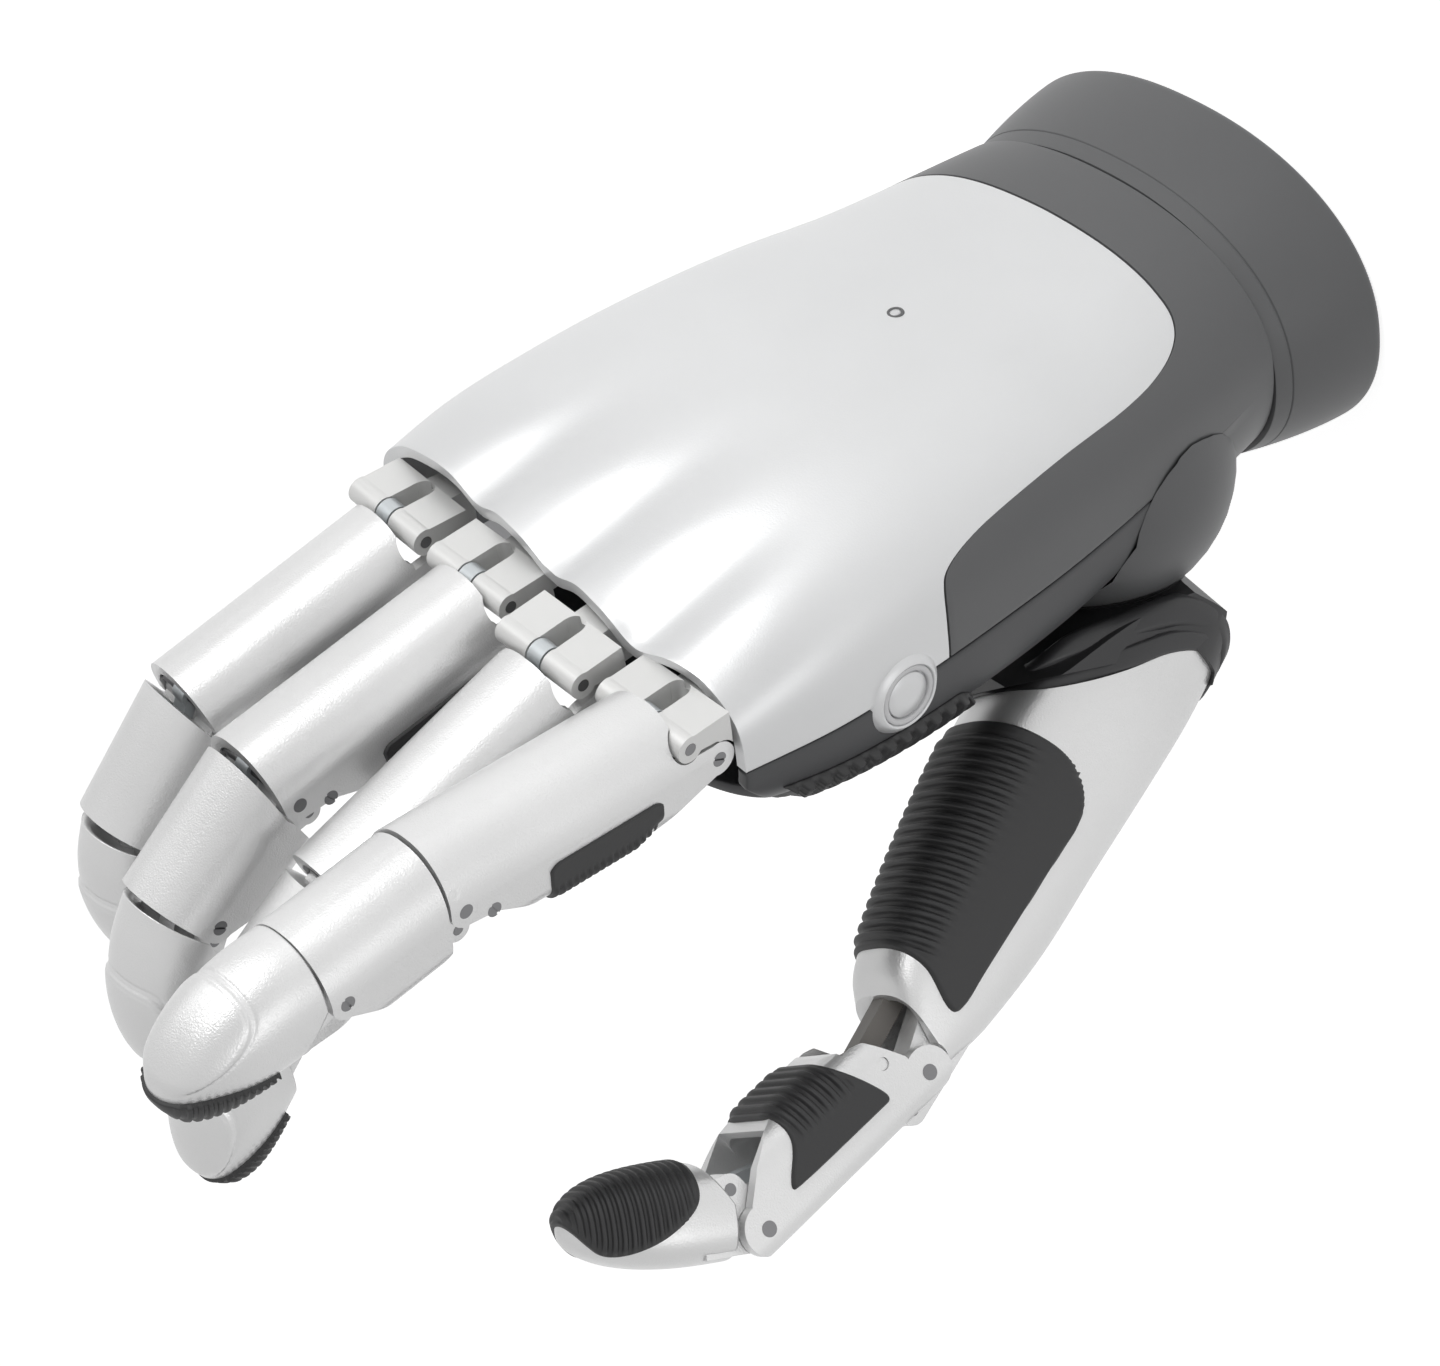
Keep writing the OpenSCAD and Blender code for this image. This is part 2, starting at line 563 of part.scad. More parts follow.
module thumb_metacarpal() color(silver) at_meta() difference() {
    union() {
        difference() {
            meta_outer();
            disc([0, 0], thumb_eye + turn_gap, thumb_half + 5);
            across([[-50, 7.6], [-32, 9.2], [-3, 9.2], [0, 0], [-10, -3], [-36, -12], [-50, -13]],
                thumb_in);
            across([[-56, 3], [-36, 4], [-34, -9.5], [-52, -14], [-66, -15.5], [-68, -11]],
                meta_half - finger_wall);
        }
        difference() {
            union() {
                disc([0, 0], 3, thumb_tongue);
                disc(meta_lug, 2.2, thumb_tongue);
                across([[-12, -6.5], [0, -3], [meta_lug[1], meta_lug[0] - 2.2],
                    [meta_lug[1], meta_lug[0] + 2.2], [0, 3], [-12, 3]], thumb_tongue);
            }
            translate([-cheek_w - 0.4, -20, -20]) cube([2 * cheek_w + 0.8, 40, 40]);
        }
    }
    disc([0, 0], bore_r, thumb_half + 5);
    disc(meta_lug, bore_r, thumb_half + 5);
}
module thumb_pins() color(dark_grey) at_meta() {
    stub = (thumb_half - cheek_w - 0.4) / 2;
    for (s = [-1, 1]) disc([0, 0], pin_r, stub, s * (cheek_w + 0.4 + stub));
    disc(meta_lug, pin_r, thumb_tongue);
}
meta_pad_side = [[-50.5, 20], [-50.5, 0], [-47, -6.2], [-42, -7.2], [-26, -4], [-10.5, -1.3], [-9, 1],
    [-12.5, 5.6], [-14.5, 11], [-14, 20]];
module thumb_metacarpal_pad() color(rubber_black) at_meta() difference() {
    intersection() {
        translate([0, pad_t, 0]) meta_outer(pad_t);
        across(meta_pad_side, meta_w);
    }
    translate([0, eps, 0]) meta_outer(eps);
}
module thumb_push_rod() color(rod_brown) {
    far = rod_nut;
    at_meta() link_bar(bent(rod_pin, thumb_bend_mcp), far, 2.1, 1.8, rod_half, rod_half, bore_r);
}

function tprox_side(n) = [[0, thumb_back], [n, thumb_back], [n + shell_lip, 0], [n, 4], [n - 4, 7.4],
    [n - 9, 10], [n - 13, 11], [10, 11], [5, 9.4], [1.6, 4.2]];
module tprox_outer(n) intersection() {
    bar(thumb_half, thumb_back, 11, -5, n + 4, 3, 5);
    union() {
        across(tprox_side(n), thumb_half + 1);
        disc([0, 0], thumb_eye, thumb_half + 1);
        disc([0, n], thumb_eye, thumb_half + 1);
    }
}
module thumb_proximal() {
    n = thumb_prox_len;
    stub = (thumb_half - cheek_w) / 2;
    color(silver) at_tprox() {
        difference() {
            tprox_outer(n);
            bar(thumb_in, thumb_back + finger_wall, 11 - finger_wall, 7.5, n - 8, 2, 3);
            translate([-thumb_in, thumb_back - 2, -6]) cube([2 * thumb_in, 20, 14.5]);
            translate([-thumb_in, thumb_back - 2, n - 9]) cube([2 * thumb_in, 20, 20]);
            translate([-cheek_w, thumb_back - 1, 0]) cube([2 * cheek_w, finger_wall + 2, 16]);
            for (at = [[0, 0], [0, n], rod_pin]) disc(at, bore_r, thumb_half + 1);
        }
        disc(rod_pin, pin_r, thumb_half - 0.3);
    }
}
module thumb_proximal_pad() {
    n = thumb_prox_len;
    color(rubber_black) at_tprox() difference() {
        intersection() {
            translate([0, pad_t, 0]) tprox_outer(n);
            translate([-thumb_w, 3, 9.5]) cube([2 * thumb_w, 20, n - 18.5]);
        }
        translate([0, eps, 0]) tprox_outer(n);
    }
}
function tdist_side(n) = [[-2, thumb_back], [n - 13, thumb_back], [n - 5, -2.6], [n - 1, 1], [n, 4],
    [n - 1.5, 7], [n - 6, 9.4], [n - 14, 10.4], [9, 10.2], [5.4, 8], [4.6, 3]];
module thumb_distal() {
    n = thumb_tip_len;
    color(silver) at_tdist() {
        difference() {
            union() {
                intersection() {
                    bar(thumb_half - 0.4, thumb_back, 10.4, -1, n, 3.4, 5);
                    across(tdist_side(n), thumb_half + 1);
                    union() {
                        translate([-thumb_half, -15, 4.4]) cube([thumb_w, 40, n - thumb_half - 4.4]);
                        translate([0, 0, n - thumb_half]) rotate([90, 0, 0])
                            cylinder(r = thumb_half - 0.4, h = 60, center = true);
                    }
                }
                disc([0, 0], thumb_eye - 0.8, thumb_tongue);
                disc(thumb_tip_lug, 2.2, thumb_tongue);
                across([[0, -3], [6, -3], [6, 6], [4, 6], [-1, 3]], thumb_tongue);
            }
            translate([-cheek_w, thumb_back + finger_wall, -9]) cube([2 * cheek_w, 30, 16]);
            translate([-cheek_w, -30, -9]) cube([2 * cheek_w, 60, 12.5]);
        }
        for (s = [-1, 1]) disc([0, 0], pin_r, (thumb_half - cheek_w - 0.5) / 2,
            s * (cheek_w + 0.5 + thumb_half) / 2);
    }
}
module thumb_tip_pad() {
    n = thumb_tip_len;
    color(rubber_black) at_tdist() difference() {
        intersection() {
            bar(thumb_half - 0.4 + pad_t * 0.3, thumb_back, 10.4 + pad_t, -1, n, 3.4, 5);
            translate([0, pad_t, 0]) across(tdist_side(n), thumb_half + 1);
            translate([0, 0, n - thumb_half]) rotate([90, 0, 0])
                cylinder(r = thumb_half - 0.4, h = 60, center = true);
            translate([-thumb_half, 6.4, 8]) cube([thumb_w, 20, n]);
        }
        intersection() {
            bar(thumb_half - 0.4 + eps, thumb_back, 10.4 + eps, -1, n, 3.4, 5);
            translate([0, eps, 0]) across(tdist_side(n), thumb_half + 1);
        }
    }
}
module thumb_tip_link() {
    from = bent(meta_lug, -thumb_bend_mcp);
    far = [0, thumb_prox_len] + bent(thumb_tip_lug, thumb_bend_ip);
    color(link_grey) at_tprox() link_bar(from, far, 2, 1.9, link_h, link_w / 2, bore_r);
}
module thumb_arm() across([top_pad, top_back, [-meta_len - 14, -20.5], [-meta_len - 24, -17],
    [-meta_len - 23.5, -8], [-meta_len - 14, 2], top_pad + 6 * top_out], meta_half);
beside_meta = [top_pad + turn_gap * top_out + 4 * top_slope, top_back + turn_gap * top_out, [-meta_len - 15.4, -19.4],
    [-meta_len - 11.2, -22], [2 - meta_len, -24], [-30, -24], [-30, 14]];
// Bracket: shaft and collar in the root cover, a necked seat, and the arm that holds the metacarpal
module thumb_swivel_bracket() color(dark_grey) {
    at_swivel() {
        translate([0, 0, -plate_t - turn_gap - 2]) cylinder(r = collar_r, h = 2);
        translate([0, 0, -plate_t - turn_gap - 1]) cylinder(r = shaft_r, h = plate_t + 3);
        translate([0, 0, turn_gap]) cylinder(r1 = swivel_r - 0.6, r2 = swivel_r - 2.4, h = 2.2);
    }
    difference() {
        hull() {
            at_swivel() translate([0, 0, 1.6]) cylinder(r = swivel_r - 3.4, h = 2);
            at_meta() intersection() {
                thumb_arm();
                bar(meta_half, -22, meta_pad_y, -90, -40, 8, 9);
            }
        }
        at_swivel() over_palm();
        at_meta() across(beside_meta, 2 * meta_half);
    }
}
// Space round the swivel seam that the arm keeps out of as it passes over the palm
module over_palm() {
    near = swivel_r - 0.6;
    arm_low = 1;
    rise = 6;
    rotate_extrude() polygon([[0, -far_up], [0, arm_low], [near, arm_low],
        [near + rise * 3.9, arm_low + rise], [far_up * 2, arm_low + rise], [far_up * 2, -far_up]]);
}

// ---- Casings -------------------------------------------------------------------------
back_half = concat([11], [for (d = edge_turns) if (d > 0 && d < 80) d], [83, 90, side_turn]);
back_turns = concat([for (i = [len(back_half) - 1:-1:0]) -back_half[i]], [0], back_half);
seam_turn = 0.7;
palm_turns = concat([side_turn + seam_turn], [for (d = [104, 112, 122, 134, 148, 164]) d], [180],
    [for (d = [164, 148, 134, 122, 112, 104]) 360 - d], [360 - side_turn - seam_turn]);
button_z = cuff_len + palm_len * cowl_edge[len(cowl_edge) - 1][1] + button_lead;
button_x = -palm_edge_x(button_y, button_z);
function palm_edge_x(y, z) =
    let (s = (z - cuff_len) / palm_len, n = curve_at(palm_form, s, 5),
         h = y < mid_y ? back_h * curve_at(palm_form, s, 3) : palm_h * curve_at(palm_form, s, 4))
    palm_a * curve_at(palm_form, s, 1) * pow(1 - pow(abs(y - mid_y) / h, n), 1 / n);
light_x = -3.7;
light_y = mid_y - back_h * curve_at(palm_form, (light_z - cuff_len) / palm_len, 3);
module at_button() translate([button_x, button_y, button_z]) rotate([0, -90, 0]) children();
module at_light() translate([light_x, light_y, light_z]) rotate([90, 0, 0]) children();
module bezel_hole() at_button() translate([0, 0, -12]) cylinder(r = bezel_r + turn_gap / 2, h = 20);

module dorsal_shell() color(silver) difference() {
    palm_wall(back_turns, [for (d = back_turns) cowl_top(d) + seam],
        [for (d = back_turns) palm_end(d - 90)], 12, 0, shell_t);
    bezel_hole();
    at_light() translate([0, 0, -5]) cylinder(r = light_r + pin_fit, h = 10);
}
module palm_shell() color(dark_grey) difference() {
    palm_wall(palm_turns, [for (d = palm_turns) cuff_len + palm_len * palm_edge + seam],
        [for (d = palm_turns) palm_end(d - 90)], 10, 0, shell_t);
    bezel_hole();
    at_swivel() translate([0, 0, -30]) cylinder(r = collar_r + 1, h = 60);
}
cowl_turns = concat([0], back_half, [side_turn + 0.3],
    [for (d = [104, 116, 130, 147, 164, 180, 196, 213, 230, 244, 256]) d],
    [360 - side_turn - 0.3], [for (i = [len(back_half) - 1:-1:0]) 360 - back_half[i]]);
function wrapped(d) = d > 180 ? d - 360 : d;
module rear_cowl() color(shell_grey) difference() {
    palm_wall(cowl_turns, [for (d = cowl_turns) cuff_len + seam],
        [for (d = cowl_turns) cowl_top(wrapped(d))], 6, 0, shell_t, true);
    at_swivel() translate([0, 0, -30]) cylinder(r = collar_r + 1, h = 60);
}
function oval(a, b, n, z) = [for (i = [0:n - 1])
    [a * arc_power(cos(360 * i / n), 0.91), b * arc_power(sin(360 * i / n), 0.91), z]];
module wrist_cuff() {
    rows = [[0, 0.97], [1.2, 1], [0.3 * cuff_len, 0.995], [0.6 * cuff_len, 0.97], [cuff_len - 0.01, 0.905]];
    sides = 48;
    function half(r, s) = neck_share(r) * s[0] + (1 - neck_share(r)) * s[1];
    function neck_share(r) = pow(r[0] / cuff_len, 1.6);
    outer = [for (i = [0:sides - 1]) [for (r = rows)
        oval(half(r, [neck_a, rim_a]), half(r, [neck_b, rim_b]), sides, r[0])[i]]];
    inner = [for (i = [0:sides - 1]) [for (r = rows)
        oval(half(r, [neck_a, rim_a]) - cuff_t, half(r, [neck_b, rim_b]) - cuff_t, sides, r[0])[i]]];
    color(shell_grey) wall(outer, inner, true);
}
cuff_t = 2.4;
module flange_plate(z0, z1, gap) translate([0, 0, z0]) linear_extrude(z1 - z0)
    polygon([for (p = oval(neck_a - gap, neck_b - gap, 48, 0)) [p[0], p[1]]]);
module wrist_flange() color(link_grey) difference() {
    flange_plate(0, flange_t, -0.6);
    translate([0, 0, -1]) cylinder(r = pilot_r, h = flange_t + 2);
    for (i = [0:bolt_count - 1]) rotate([0, 0, 45 + i * 360 / bolt_count])
        translate([bolt_pcd / 2, 0, -1]) cylinder(r = bolt_hole_r, h = flange_t + 2);
}
module wrist_connector() color(rubber_black) difference() {
    translate([0, 0, flange_t]) cylinder(r = pilot_r - 1.5, h = 8);
    translate([0, 0, flange_t - 1]) cylinder(r = pilot_r - 3.5, h = 5);
}

// ---- Inside the palm -----------------------------------------------------------------
base_t = 4;
spine_top = 116;
spine_y = mid_y + 1;
motor_z = 44;
motor_pitch = 13.4;
motor_y = spine_y + spine_t / 2 + motor_r + 0.6;
board_y = spine_y - spine_t / 2 - 6;
board_half = 22;
board_z = 40;
board_len = 60;
post_r = 2.5;
bar_top_y = 2;
bar_h = 8;
bar_a = 0.79 * palm_a;
module motor_row(r, z, h) for (i = [-1.5:1:1.5])
    translate([i * motor_pitch, motor_y, z]) cylinder(r = r, h = h);
module palm_frame() color(link_grey) difference() {
    union() {
        difference() {
            flange_plate(flange_t, flange_t + base_t, 2.2);
            translate([0, 0, -1]) cylinder(r = pilot_r - 1.4, h = flange_t + base_t + 2);
            for (i = [0:bolt_count - 1]) rotate([0, 0, 45 + i * 360 / bolt_count])
                translate([bolt_pcd / 2, 0, -1]) cylinder(r = bolt_hole_r, h = 40);
        }
        translate([-spine_a, spine_y - spine_t / 2, flange_t])
            cube([2 * spine_a, spine_t, spine_top - flange_t]);
        for (z = [motor_z + 6, motor_z + motor_len - 10])
            translate([-motor_pitch * 2, spine_y, z]) cube([motor_pitch * 4, motor_y - spine_y, 4]);
        translate([-bar_a, -9, spine_top - bar_h]) cube([2 * bar_a, bar_top_y + 9, bar_h]);
        for (i = [0:3]) at_knuckle(i)
            translate([-stem_w, -5.5, stem_back - 16]) cube([2 * stem_w, 7, 16]);
        for (x = [-1, 1] * (board_half - 4), z = [board_z + 5, board_z + board_len - 5])
            translate([x, spine_y, z]) rotate([90, 0, 0])
                cylinder(r = post_r, h = spine_y - board_y - board_t / 2);
    }
    motor_row(motor_r + pin_fit, motor_z - 1, motor_len + 2);
    translate([0, 0, flange_t - 1]) cylinder(r = pilot_r - 1.4, h = 9.2);
}
module finger_motors() color(silver) motor_row(motor_r, motor_z, motor_len);
module control_board() color("seagreen")
    translate([-board_half, board_y - board_t / 2, board_z]) cube([2 * board_half, board_t, board_len]);
module button_bezel() color(white_metal) difference() {
    at_button() difference() {
        rotate_extrude() polygon([[0, -4], [bezel_r, -4], [bezel_r, 0.6], [bezel_r - 1.2, 1.9], [0, 1.9]]);
        translate([0, 0, -2.6]) cylinder(r = button_r + pin_fit, h = 10);
        translate([0, 0, -5]) cylinder(r = button_r + 1, h = 2.4 + button_travel);
    }
}
module power_button() color(silver) at_button() {
    translate([0, 0, -2]) cylinder(r = button_r, h = 3.6);
}
module status_light() color("white") at_light() translate([0, 0, -2.4]) cylinder(r = light_r, h = 2.5);
module palm_pad() color(rubber_black) difference() {
    turns = [for (d = [106:8:202]) d];
    palm_wall(turns, [for (d = turns) 66], [for (d = turns) palm_end(d - 90) - 4], 8, -palm_pad_t, -0.05);
    at_swivel() cylinder(r = swivel_r + 1, h = 60, center = true);
}

// ---- Every piece once ----------------------------------------------------------------
palm_frame();
dorsal_shell();
palm_shell();
rear_cowl();
thumb_root_cover();
wrist_cuff();
wrist_flange();
wrist_connector();
knuckle_blocks();
knuckle_pins();
palm_pad();
button_bezel();
power_button();
status_light();
finger_motors();
control_board();
proximal(0);  // index_proximal
proximal_pad(0);  // index_proximal_pad
prox_pins(0);  // index_pins
middle_phalanx(0);  // index_middle
distal(0);  // index_distal
tip_pad(0);  // index_tip_pad
drive_link(0);  // index_drive_link
tip_link(0);  // index_tip_link
proximal(1);  // middle_proximal
proximal_pad(1);  // middle_proximal_pad
prox_pins(1);  // middle_pins
middle_phalanx(1);  // middle_middle
distal(1);  // middle_distal
tip_pad(1);  // middle_tip_pad
drive_link(1);  // middle_drive_link
tip_link(1);  // middle_tip_link
proximal(2);  // ring_proximal
proximal_pad(2);  // ring_proximal_pad
prox_pins(2);  // ring_pins
middle_phalanx(2);  // ring_middle
distal(2);  // ring_distal
tip_pad(2);  // ring_tip_pad
drive_link(2);  // ring_drive_link
tip_link(2);  // ring_tip_link
proximal(3);  // little_proximal
proximal_pad(3);  // little_proximal_pad
prox_pins(3);  // little_pins
middle_phalanx(3);  // little_middle
distal(3);  // little_distal
tip_pad(3);  // little_tip_pad
drive_link(3);  // little_drive_link
tip_link(3);  // little_tip_link
thumb_swivel_bracket();
thumb_metacarpal();
thumb_metacarpal_pad();
thumb_push_rod();
thumb_pins();
thumb_proximal();
thumb_proximal_pad();
thumb_distal();
thumb_tip_pad();
thumb_tip_link();
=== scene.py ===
"""Dexterous right robot hand: silver back shell over a grey casing, four linked fingers, an opposed thumb."""
import bmesh
import bpy
import numpy as np
from mathutils import Matrix, Vector


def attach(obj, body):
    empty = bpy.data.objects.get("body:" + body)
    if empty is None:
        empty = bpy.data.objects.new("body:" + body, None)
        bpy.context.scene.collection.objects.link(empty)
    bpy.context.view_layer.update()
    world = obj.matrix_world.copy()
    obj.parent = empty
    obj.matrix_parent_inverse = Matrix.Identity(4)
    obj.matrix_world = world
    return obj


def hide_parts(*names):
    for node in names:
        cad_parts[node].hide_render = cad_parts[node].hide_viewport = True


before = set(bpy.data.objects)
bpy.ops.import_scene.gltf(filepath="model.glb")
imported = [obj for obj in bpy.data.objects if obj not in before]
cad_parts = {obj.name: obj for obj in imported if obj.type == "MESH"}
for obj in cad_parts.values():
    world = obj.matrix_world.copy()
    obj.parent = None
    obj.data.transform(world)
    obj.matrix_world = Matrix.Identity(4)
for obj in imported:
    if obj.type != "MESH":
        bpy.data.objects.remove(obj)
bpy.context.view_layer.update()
mm = 0.001

# ---- Back shell ----------------------------------------------------------------------
# Moulded shell over the back of the hand, lacquered satin silver and clipped to the frame.
# Its knuckle edge is drawn down between the fingers, and the hollows fade towards the wrist.
cuff_len, palm_len = 19, 106
palm_a, back_h, palm_h, mid_y = 44, 22.5, 26, -3
neck_a, neck_b = 33.5, 23.3
shell_t, seam = 1.8, .4
# place along the palm, thumb side, little-finger side, back, palm, squareness
palm_form = np.array([
    [0, neck_a / palm_a, neck_a / palm_a, (neck_b + mid_y) / back_h, (neck_b - mid_y) / palm_h, 2.2],
    [.24, .86, .828, .854, .93, 2.7], [.43, .91, .877, .954, .98, 3], [.6, .935, .931, .995, 1, 3],
    [.74, .945, .97, .965, .97, 3], [.88, .94, 1.02, .819, .86, 3], [1.03, .895, 1.018, .561, .66, 3]])
# turn off the middle of the back, place of the cowl's edge along the palm
edge_rows = np.array([[0, .109], [22, .114], [36, .121], [47, .134], [54, .165], [58.5, .22], [61, .3],
                      [62.5, .4], [64.5, .5], [67, .59], [71, .65], [76, .675], [93, .685]])
knuckle_x = np.array([-29.8, -10.6, 10.3, 31.7])
knuckle_y = np.array([-4.8, -6.4, -5.4, -4])
knuckle_z = np.array([130.7, 132, 127.6, 125.5])
side_turn, palm_edge = 93, .274
back_gap, palm_gap, turn_in, turned_in = 3.2, 9.6, .2, .585


def curve(rows, s, column):
    """Smooth curve through rows of [place, value, ...]: cubic spans whose slope at a row is that of the line
    between its two neighbours."""
    x, y = rows[:, 0], rows[:, column]
    i = np.clip(np.searchsorted(x[1:-1], s, "right"), 0, len(x) - 2)
    before, after = np.maximum(np.arange(len(x)) - 1, 0), np.minimum(np.arange(len(x)) + 1, len(x) - 1)
    slope = (y[after] - y[before]) / (x[after] - x[before])
    w = x[i + 1] - x[i]
    t = np.clip((s - x[i]) / w, 0, 1)
    return ((2 * t**3 - 3 * t**2 + 1) * y[i] + (t**3 - 2 * t**2 + t) * w * slope[i]
            + (3 * t**2 - 2 * t**3) * y[i + 1] + (t**3 - t**2) * w * slope[i + 1])


def smooth(a, b, v):
    """0 below a, 1 above b, and a cubic S between."""
    t = np.clip((v - a) / (b - a), 0, 1)
    return t * t * (3 - 2 * t)


def palm(d, z, inset=0):
    """Palm's outside at turn d degrees off the middle of the back and height z: a squared oval,
    x = a cos^e, y = middle + h sin^e, with a, h and e taken from the rows along the hand."""
    s = (z - cuff_len) / palm_len
    t = np.radians(d - 90)
    e = 2 / curve(palm_form, s, 5)
    a = palm_a * np.where(np.cos(t) < 0, curve(palm_form, s, 1), curve(palm_form, s, 2)) - inset
    h = np.where(np.sin(t) < 0, back_h * curve(palm_form, s, 3), palm_h * curve(palm_form, s, 4)) - inset
    power = lambda v: np.sign(v) * np.abs(v) ** e
    return np.stack([a * power(np.cos(t)), mid_y + h * power(np.sin(t)), z + 0 * t], -1)


def cowl_top(d):
    """Height of the line where shell and cowl meet."""
    d = np.abs((d + 180) % 360 - 180)
    return cuff_len + palm_len * np.where(d <= side_turn, curve(edge_rows, d, 1), palm_edge)


def palm_end(d):
    """Height of the casing's finger end: back_gap under the knuckles on the back, palm_gap under them on the
    palm, and a straight slope between, by the sine of the turn."""
    t = np.radians(d - 90)
    k = curve(np.stack([knuckle_x, knuckle_z], 1), .91 * palm_a * np.cos(t), 1)
    return k - back_gap - (palm_gap - back_gap) * np.clip((np.sin(t) - turn_in) / (turned_in - turn_in), 0, 1)


def mesh_piece(name, points, faces, material=None, body="root", smooth_faces=True):
    """Object from points in millimetres and a list of corner lists."""
    mesh = bpy.data.meshes.new(name)
    mesh.from_pydata((np.asarray(points, float) * mm).tolist(), [], [list(f) for f in faces])
    mesh.update()
    mesh.validate()
    if smooth_faces:
        mesh.polygons.foreach_set("use_smooth", np.ones(len(mesh.polygons), bool))
    piece = bpy.data.objects.new(name, mesh)
    bpy.context.scene.collection.objects.link(piece)
    if material:
        mesh.materials.append(material)
    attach(piece, body)
    return piece


def grid_faces(n, m, start=0, wrap=False, flip=False):
    """Four-cornered faces over an n by m grid of points numbered row by row."""
    i, j = np.meshgrid(np.arange(n if wrap else n - 1), np.arange(m - 1), indexing="ij")
    a, b = i * m + j, (i + 1) % n * m + j
    quads = np.stack([a, b, b + 1, a + 1], -1).reshape(-1, 4) + start
    return quads[:, ::-1] if flip else quads


def strip_faces(a, b, wrap=False):
    """Four-cornered faces between two rows of point numbers."""
    a, b = np.asarray(a), np.asarray(b)
    if wrap:
        a, b = np.append(a, a[0]), np.append(b, b[0])
    return np.stack([a[:-1], a[1:], b[1:], b[:-1]], -1)


def wall(name, outer, inner, material, wrap=False, body="root"):
    """Closed wall between two grids of points, whose rims are joined by strips."""
    n, m = outer.shape[:2]
    number = np.arange(n * m).reshape(n, m)
    faces = [grid_faces(n, m, 0, wrap), grid_faces(n, m, n * m, wrap, True)]
    faces.append(strip_faces(number[:, 0] + n * m, number[:, 0], wrap))
    faces.append(strip_faces(number[:, -1], number[:, -1] + n * m, wrap))
    if not wrap:
        faces += [strip_faces(number[0], number[0] + n * m), strip_faces(number[-1] + n * m, number[-1])]
    points = np.concatenate([outer.reshape(-1, 3), inner.reshape(-1, 3)])
    return mesh_piece(name, points, np.concatenate(faces), material, body)


def outward(piece):
    """Turns every face outwards."""
    work = bmesh.new()
    work.from_mesh(piece.data)
    bmesh.ops.recalc_face_normals(work, faces=work.faces)
    work.to_mesh(piece.data)
    work.free()
    return piece


def rounded(piece, width, segments=2, angle=35):
    """Rounds the edges sharper than the angle."""
    edge = piece.modifiers.new("rounded edges", "BEVEL")
    edge.width, edge.segments = width * mm, segments
    edge.limit_method, edge.angle_limit = "ANGLE", np.radians(angle)
    return piece


def turned(axis, degrees):
    """Turn about x, y or z as a 4 by 4 matrix."""
    i, j = {"x": (1, 2), "y": (2, 0), "z": (0, 1)}[axis]
    m = np.eye(4)
    m[i, i] = m[j, j] = np.cos(np.radians(degrees))
    m[j, i] = np.sin(np.radians(degrees))
    m[i, j] = -m[j, i]
    return m


def moved(x, y, z):
    """Shift as a 4 by 4 matrix."""
    m = np.eye(4)
    m[:3, 3] = x, y, z
    return m


def carried(matrix, points):
    """Points of a local frame in the hand's frame."""
    return np.asarray(points) @ matrix[:3, :3].T + matrix[:3, 3]


def normals_of(grid, wrap=False):
    """Unit normals of a grid of points: the cross product of its two differences, turned away from its
    middle."""
    across = (np.roll(grid, -1, 1) - np.roll(grid, 1, 1)) if wrap else np.gradient(grid, axis=1)
    normal = np.cross(np.gradient(grid, axis=0), across)
    normal /= np.maximum(np.linalg.norm(normal, axis=-1, keepdims=True), 1e-9)
    middle = grid.mean(axis=1, keepdims=True)
    side = np.sign((normal * (grid - middle)).sum(-1).mean())
    return normal * side


def form(rows, p, t):
    """Form drawn in side view. Rows hold place, back z, back y, pad z, pad y, half width, and the squareness n
    of the back and of the pad. A point at turn t lies at f = (1 + sin^(2/n)) / 2 between the back and pad
    curves, and at x = half cos^(2/n)."""
    c = [curve(rows, p, k) for k in range(1, 8)]
    n = np.where(np.sin(t) < 0, c[5], c[6])
    power = lambda v: np.sign(v) * np.abs(v) ** (2 / n)
    f = (1 + power(np.sin(t))) / 2
    points = np.stack([c[4] * power(np.cos(t)), c[1] + (c[3] - c[1]) * f, c[0] + (c[2] - c[0]) * f], -1)
    return points, f


def pad_of(name, skin, height, keep, under, material, body):
    """Pad on a grid: where keep is true the skin is lifted by height along its normal, doubled below by the
    depth under, and the two layers are joined round their border."""
    n, m = keep.shape
    lift = normals_of(skin)
    layers = skin + lift * height[..., None], skin - lift * under
    points = np.concatenate([layer.reshape(-1, 3) for layer in layers])
    quads = grid_faces(n, m)
    quads = quads[keep.ravel()[quads].all(1)]
    edges = np.concatenate([quads[:, [k, (k + 1) % 4]] for k in range(4)])
    code, back = edges[:, 0] * n * m + edges[:, 1], edges[:, 1] * n * m + edges[:, 0]
    rim = edges[~np.isin(code, back)]
    border = np.stack([rim[:, 1], rim[:, 0], rim[:, 0] + n * m, rim[:, 1] + n * m], -1)
    faces = np.concatenate([quads, quads[:, ::-1] + n * m, border])
    used, number = np.unique(faces, return_inverse=True)
    return outward(mesh_piece(name, points[used], number.reshape(faces.shape), material, body))


def hull(points):
    """Corners of the smallest convex outline round flat points, in order."""
    points = sorted(set(map(tuple, np.round(points, 5).tolist())))

    def chain(row):
        line = []
        for q in row:
            while len(line) > 1 and ((line[-1][0] - line[-2][0]) * (q[1] - line[-2][1])
                                     - (line[-1][1] - line[-2][1]) * (q[0] - line[-2][0])) <= 0:
                line.pop()
            line.append(q)
        return line[:-1]

    return np.array(chain(points) + chain(points[::-1]))


def ring(y, z, radius, count=40):
    """Points of a circle in side view, as y and z."""
    a = np.linspace(0, 2 * np.pi, count, endpoint=False)
    return np.stack([y + radius * np.cos(a), z + radius * np.sin(a)], 1)


